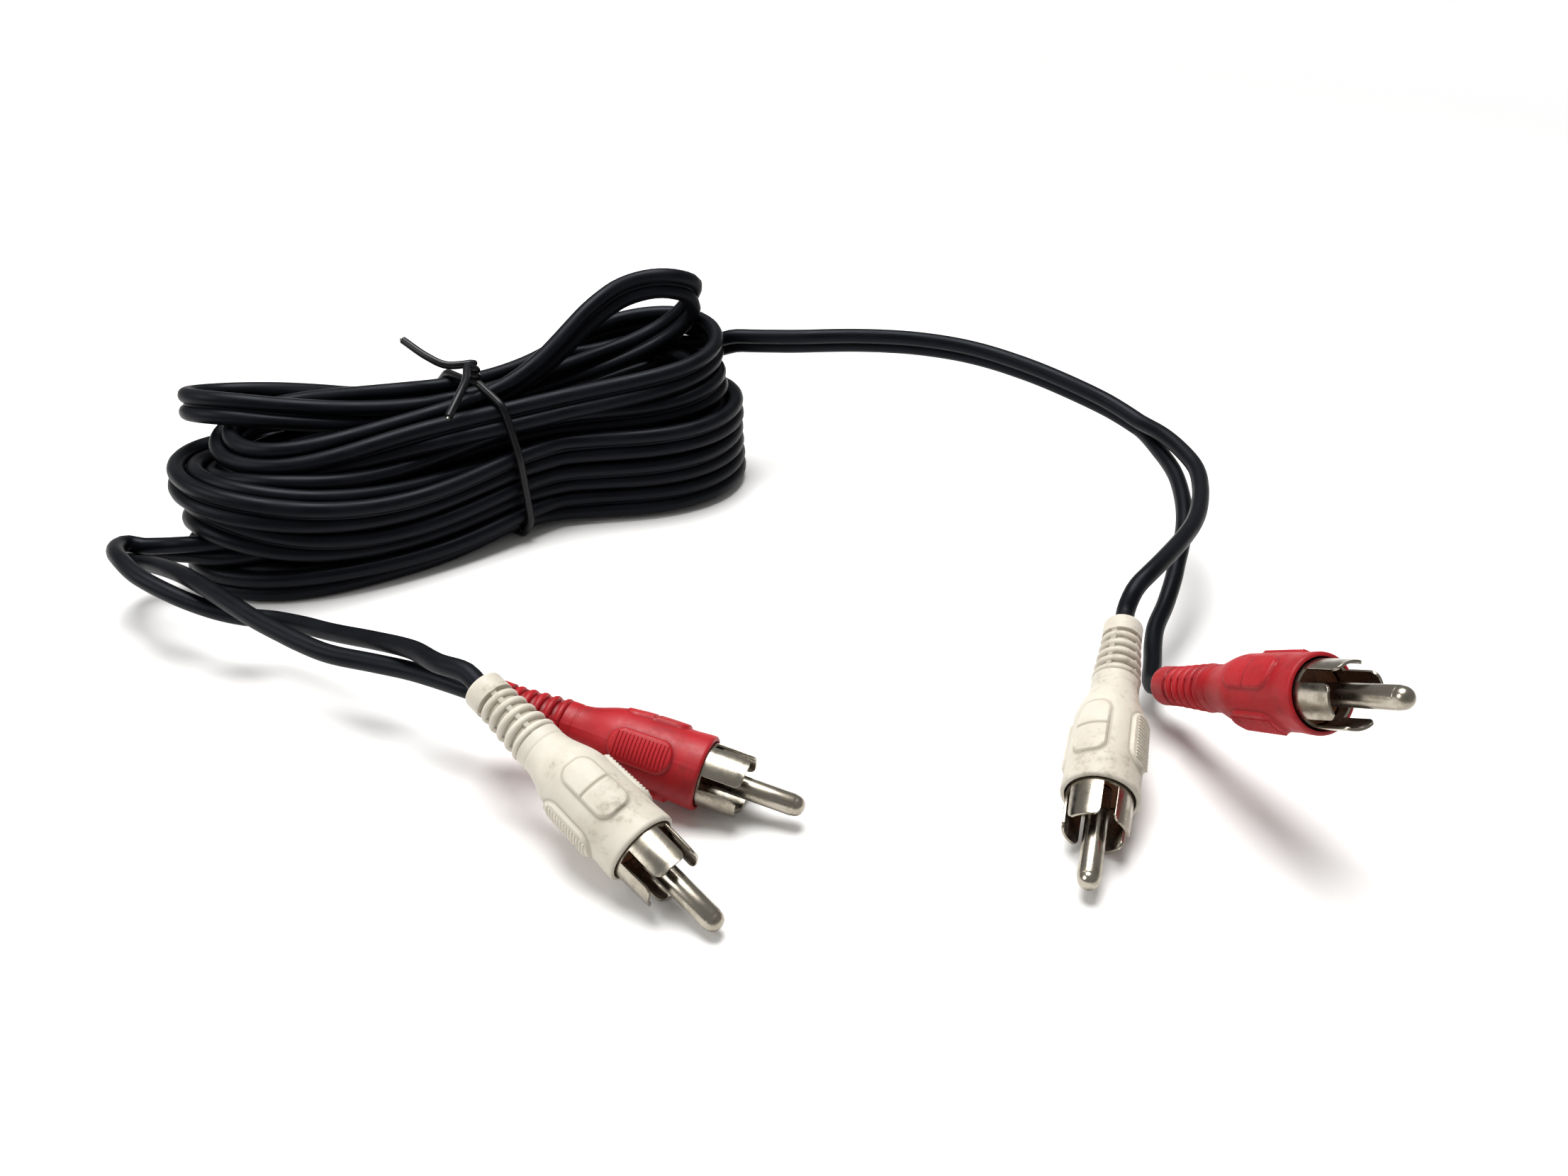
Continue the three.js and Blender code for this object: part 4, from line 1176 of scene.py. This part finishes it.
def make_washer(name):
    outer = SHELL_RADIUS - SHEET - 0.1
    back = -SHELL_DEPTH + SHEET + 0.3
    return turned(f"{name}_washer", [
        (WASHER_HOLE, back - HUB_LENGTH), (HUB_RADIUS, back - HUB_LENGTH), (HUB_RADIUS, back), (outer, back),
        (outer, -INSULATOR_RECESS - WASHER_EDGE), (outer - WASHER_EDGE, -INSULATOR_RECESS),
        (WASHER_HOLE, -INSULATOR_RECESS),
    ], PHENOLIC)


def make_pin(name):
    shoulder, nose_radius = PIN_REACH - NOSE_LENGTH, PIN_RADIUS - 0.08
    section = [
        (0, CUP_FRONT - 0.5), (CUP_HOLE, CUP_FRONT - 0.5), (CUP_HOLE, CUP_BACK), (CUP_RADIUS, CUP_BACK),
        (CUP_RADIUS, CUP_FRONT), (STEM_RADIUS, CUP_FRONT), (STEM_RADIUS, STEM_FRONT),
        (nose_radius, STEM_FRONT), (PIN_RADIUS, STEM_FRONT + 0.1), (PIN_RADIUS, shoulder - 0.12),
        (PIN_RADIUS - 0.05, shoulder),
    ]
    for a in np.radians(np.linspace(0, 90, 10))[:-1]:
        rise = 0.06 + (NOSE_LENGTH - 0.06) * math.sin(a)
        section.append((nose_radius * math.cos(a) ** 0.8, shoulder + rise))
    return turned_solid(f"{name}_pin", section + [(0, PIN_REACH)], NICKEL)


# %% Four plugs
INSIDES = (
    ("ground_shell", "nickel_plate", make_shell), ("insulator", "brown_phenolic", make_washer),
    ("centre_pin", "nickel_plate", make_pin),
)
plug_pieces = {name: [boots[name]] for name in PLUGS}
for name, pieces in plug_pieces.items():
    for cad, slot, make in INSIDES:
        pieces.append(make(name))
        lay_plug(pieces[-1], name)
        finish_piece(pieces[-1], slot, f"{name}_{cad}")
    for cad, finish in (("core_wire", POLYETHYLENE), ("shield_tail", COPPER_WIRE)):
        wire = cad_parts[f"{name}_{cad}"]
        wire.data.materials.clear()
        wire.data.materials.append(finish)
        pieces.append(wire)
print("pieces of one plug:", [p.name for p in plug_pieces["left_white"]])

# %% [markdown]
# ## Leads
#
# At each end, the web stops and the two jackets part. The upper one goes to the white plug and the
# lower one to the red plug. A lead starts where its jacket ends, follows its points as in the CAD
# source, runs straight for its last few millimetres and enters its boot.

# %% The leads' points, from their end of the hank
LEAD_POINTS = {
    "left_white": [
        (-4, -8.4, 11.6), (-4.3, -10.9, 12.4), (-3.1, -14.2, 13.2), (-0.2, -18, 13.6), (3.8, -21.7, 13.1),
        (8.8, -24.2, 11.9), (13.4, -25.8, 10.7), (18.3, -27.1, 9.7), (22.9, -27.7, 9), (27.6, -28, 8.7),
        (33, -30.2, 9.2), (39.4, -34, 10.3), (48.4, -39.8, 12.7), (55.8, -45.7, 15.2), (61.2, -51.5, 16.9),
    ],
    "left_red": [
        (-4.1, -7.7, 8), (-4.1, -9.8, 8.8), (-1.8, -12.2, 9.8), (3, -15, 11.2), (9.6, -20.2, 13),
        (15, -24.7, 13.8), (20.1, -28.8, 13.8), (24.2, -31.9, 13.5), (28.1, -34.7, 13.1), (32.6, -37.4, 12.6),
        (36.6, -39.6, 12.1), (41.3, -41.7, 11.6), (49, -43.9, 11.4), (55.3, -46, 11.4),
    ],
    "right_white": [
        (81.5, -22.6, 20.4), (83.7, -28.6, 19.9), (84.8, -34.3, 19.3), (84, -40.6, 18.8), (82, -47.4, 18.6),
        (79.6, -53, 18.5), (76, -58.8, 18.4), (71.6, -64.7, 18.2), (68.4, -68.3, 17.6), (66.1, -70.5, 16.6),
        (64.7, -72.4, 15.4),
    ],
    "right_red": [
        (81.4, -22.2, 16.9), (82.6, -29.4, 16), (82.4, -36.3, 15), (81.4, -42.9, 13.7), (79.7, -48.7, 12.2),
        (78, -53.1, 10.6), (76.7, -56.5, 9.4), (74.2, -61.9, 7.4), (71.6, -66.8, 6.2), (70.4, -70.4, 5.4),
        (69.4, -74.6, 4.8),
    ],
}
LEAD_STRAIGHT = 3.6  # the last stretch before the boot
LEAD_MOUTH = 0.3
LEAD_INSIDE = 2.5  # how far a lead goes into its boot's collar
LEAD_STEP = 1.5


def lead_path(name):
    """A lead's whole path, from its jacket's end to inside its boot."""
    end = PLUGS[name][0]
    strand = strands[1 if name.endswith("red") else 0]
    start = strand[:2] if end < 0 else strand[-2:][::-1]
    front, directions = plug_place(name)
    behind = (LEAD_STRAIGHT, LEAD_MOUTH, -LEAD_INSIDE)
    entry = [front - directions[1] * (BOOT_LENGTH + far) for far in behind]
    points = [from_end(end, p) for p in LEAD_POINTS[name]]
    return spline(np.vstack([start[1:], start[:1], points, entry]), LEAD_STEP)[1:]


leads = {}
for name in PLUGS:
    path = lead_path(name)
    leads[name] = (sheath(f"{name}_lead_jacket", path, STRAND, BLACK_PVC), path)
    finish_piece(leads[name][0], "black_pvc", f"{name}_lead")
    print(name, "lead, mm:", round(length_of(path)))

# %% [markdown]
# ## The tie
#
# The tie's loop is pulled tight, so it takes the shortest way round the strands that it crosses.
# Where the strands cross the tie's plane, each one is a circle. The loop is the hull of those
# circles, half a tie's width further out. At the top its two ends are twisted together, and part.

# %% The tie's loop
TIE_KNOT_ACROSS = -1.2
TIE_KNOT_HEIGHT = 3.4
TIE_TWISTS = 1.25
TIE_OPENING = 0.2  # the loop's gap at the knot on either side, in radians
TIE_TAIL_BACK = [(-2.2, -0.6, 3.4), (-6, 0.6, 4.6), (-10.9, 3.8, 6.5)]  # from the hank's middle and top
TIE_TAIL_FRONT = [(2.3, -5.6, 2.6), (1.8, -10.4, 1.4), (0.7, -14.6, -0.6)]


def crossings():
    """Where strands cross the tie's plane, as (side, height) pairs."""
    found = []
    for strand in strands:
        away = (strand - TIE_MIDDLE) @ TIE_NORMAL
        for i in np.nonzero(away[:-1] * away[1:] < 0)[0]:
            share = away[i] / (away[i] - away[i + 1])
            place = strand[i] * (1 - share) + strand[i + 1] * share
            found.append(((place - TIE_MIDDLE) @ TIE_ACROSS, place[2]))
    return np.array(found)


def hull(points):
    """The convex hull of flat points, counter-clockwise."""
    def half(ordered):
        kept = []
        for p in ordered:
            while len(kept) > 1 and np.cross(kept[-1] - kept[-2], p - kept[-2]) <= 0:
                kept.pop()
            kept.append(p)
        return kept[:-1]
    ordered = points[np.lexsort(points.T[::-1])]
    return np.array(half(ordered) + half(ordered[::-1]))


def tie_loop():
    """The loop's points from one side of the knot round to the other, and the knot's foot."""
    around = np.linspace(0, 2 * math.pi, 24, endpoint=False)
    circle = (STRAND + TIE_DIAMETER) / 2 * np.stack([np.cos(around), np.sin(around)], 1)
    outline = hull((crossings()[:, None] + circle[None]).reshape(-1, 2))
    top = outline[outline[:, 1] > outline[:, 1].mean()]
    top = top[np.argsort(top[:, 0])]
    foot = np.array([TIE_KNOT_ACROSS, np.interp(TIE_KNOT_ACROSS, top[:, 0], top[:, 1])])
    centre = outline.mean(0)
    turn = np.arctan2(*(foot - centre)[::-1])
    angles = (np.arctan2(*(outline - centre).T[::-1]) - turn) % (2 * math.pi)
    order = np.argsort(angles)
    kept = order[(angles[order] > TIE_OPENING) & (angles[order] < 2 * math.pi - TIE_OPENING)]
    place = lambda p: TIE_MIDDLE + TIE_ACROSS * p[0] + UP * p[1]
    return [place(p) for p in outline[kept]], place(foot)


# %% The twist, the tails and their cut ends
def twist(foot, start):
    """Half of the twisted pair: a helix that rises from the knot's foot."""
    points = []
    for share in np.linspace(0, 1, 14):
        angle = start + share * TIE_TWISTS * 2 * math.pi
        ring = TIE_ACROSS * math.cos(angle) + TIE_NORMAL * math.sin(angle)
        points.append(foot + ring * TIE_DIAMETER / 2 * 1.04 + UP * (0.3 + share * TIE_KNOT_HEIGHT))
    return points


def tie_path():
    loop, foot = tie_loop()
    near, far = twist(foot, 0), twist(foot, math.pi)
    first, last = (far, near) if (loop[0] - foot) @ TIE_ACROSS < 0 else (near, far)
    tails = [HANK_MIDDLE + UP * HANK_HEIGHT + np.array(tail) for tail in (TIE_TAIL_BACK, TIE_TAIL_FRONT)]
    if first[-1][1] <= last[-1][1]:
        tails.reverse()
    return np.vstack([tails[0][::-1], first[::-1], loop, last, tails[1]])


line = spline(tie_path(), 0.8)
made = [sheath("tie_coat", line, TIE_DIAMETER, TIE_COAT, sides=14, step=0.7)]
for end, before in ((0, 1), (-1, -2)):
    out = (line[end] - line[before]) / np.linalg.norm(line[end] - line[before])
    core = [line[end] + out * reach for reach in (-1, 0.2, 0.6)]
    made.append(sheath("tie_core", core, 0.7, CUT_STEEL, sides=10, step=0.4))
tie = join("twisted_wire_tie", made)
finish_piece(tie, "tie_pvc", "wire_tie")
print("tie, mm:", round(length_of(line)), "faces:", len(tie.data.polygons))

# %% [markdown]
# ## Floor and light
#
# The cable lies on a seamless white surface in a soft, even light from above and a little behind,
# so the shadows are short and fall towards the viewer. Where the camera looks at the floor, it
# fades to plain white away from the cable, as the photograph's background does. The world's
# white is bright for the camera alone, and gives the scene less light.

# %% The floor
FLOOR_REACH = 3000
FADE_START = 0.3  # metres from the middle, as the shader sees them
FADE_END = 0.62


def floor_surface():
    material, tree, shader, place = new_material("matt_white_laminate", {"Roughness": 0.6})
    mottle = noise(tree, place, 25, 2.0)
    fill(tree, shader, {"Base Color": blend(tree, mottle, "#f4f3f1", "#efeeec")})
    far = node(tree, "ShaderNodeVectorMath", {0: place}, operation="LENGTH").outputs["Value"]
    looked_at = node(tree, "ShaderNodeLightPath").outputs["Is Camera Ray"]
    faded = calculate(tree, "MULTIPLY", ramp(tree, far, FADE_START, FADE_END), looked_at)
    plain = node(tree, "ShaderNodeEmission", {"Color": linear("#ffffff"), "Strength": 1.0})
    both = {0: faded, 1: shader.outputs["BSDF"], 2: plain.outputs["Emission"]}
    surface = node(tree, "ShaderNodeMixShader", both).outputs["Shader"]
    fill(tree, tree.nodes["Material Output"], {"Surface": surface})
    return material


corners = [(x * FLOOR_REACH, y * FLOOR_REACH, 0) for x, y in ((-1, -1), (1, -1), (1, 1), (-1, 1))]
floor = make_piece("floor", corners, [(0, 1, 2, 3)], floor_surface())


# %% The lamps
def lamp(name, place_mm, aim_mm, size_mm, watts):
    data = bpy.data.lights.new(name, "AREA")
    data.shape = "DISK"
    data.size = size_mm / 1000
    data.energy = watts
    made = into_scene(name, data)
    made.location = Vector(place_mm) / 1000
    made.rotation_euler = (Vector(aim_mm) - Vector(place_mm)).to_track_quat("-Z", "Y").to_euler()


lamp("overhead", (-40, 170, 740), (0, 0, 0), 540, 9.0)
lamp("window", (-620, -260, 480), (0, 0, 10), 520, 2.6)

WORLD_LIGHT = 0.3
WORLD_SEEN = 1.0
world = bpy.data.worlds.new("studio")
world.use_nodes = True
bpy.context.scene.world = world
tree = world.node_tree
seen = node(tree, "ShaderNodeLightPath").outputs["Is Camera Ray"]
level = node(tree, "ShaderNodeMix", {0: seen, 2: WORLD_LIGHT, 3: WORLD_SEEN}).outputs[0]
fill(tree, tree.nodes["Background"], {"Color": linear("#ffffff"), "Strength": level})
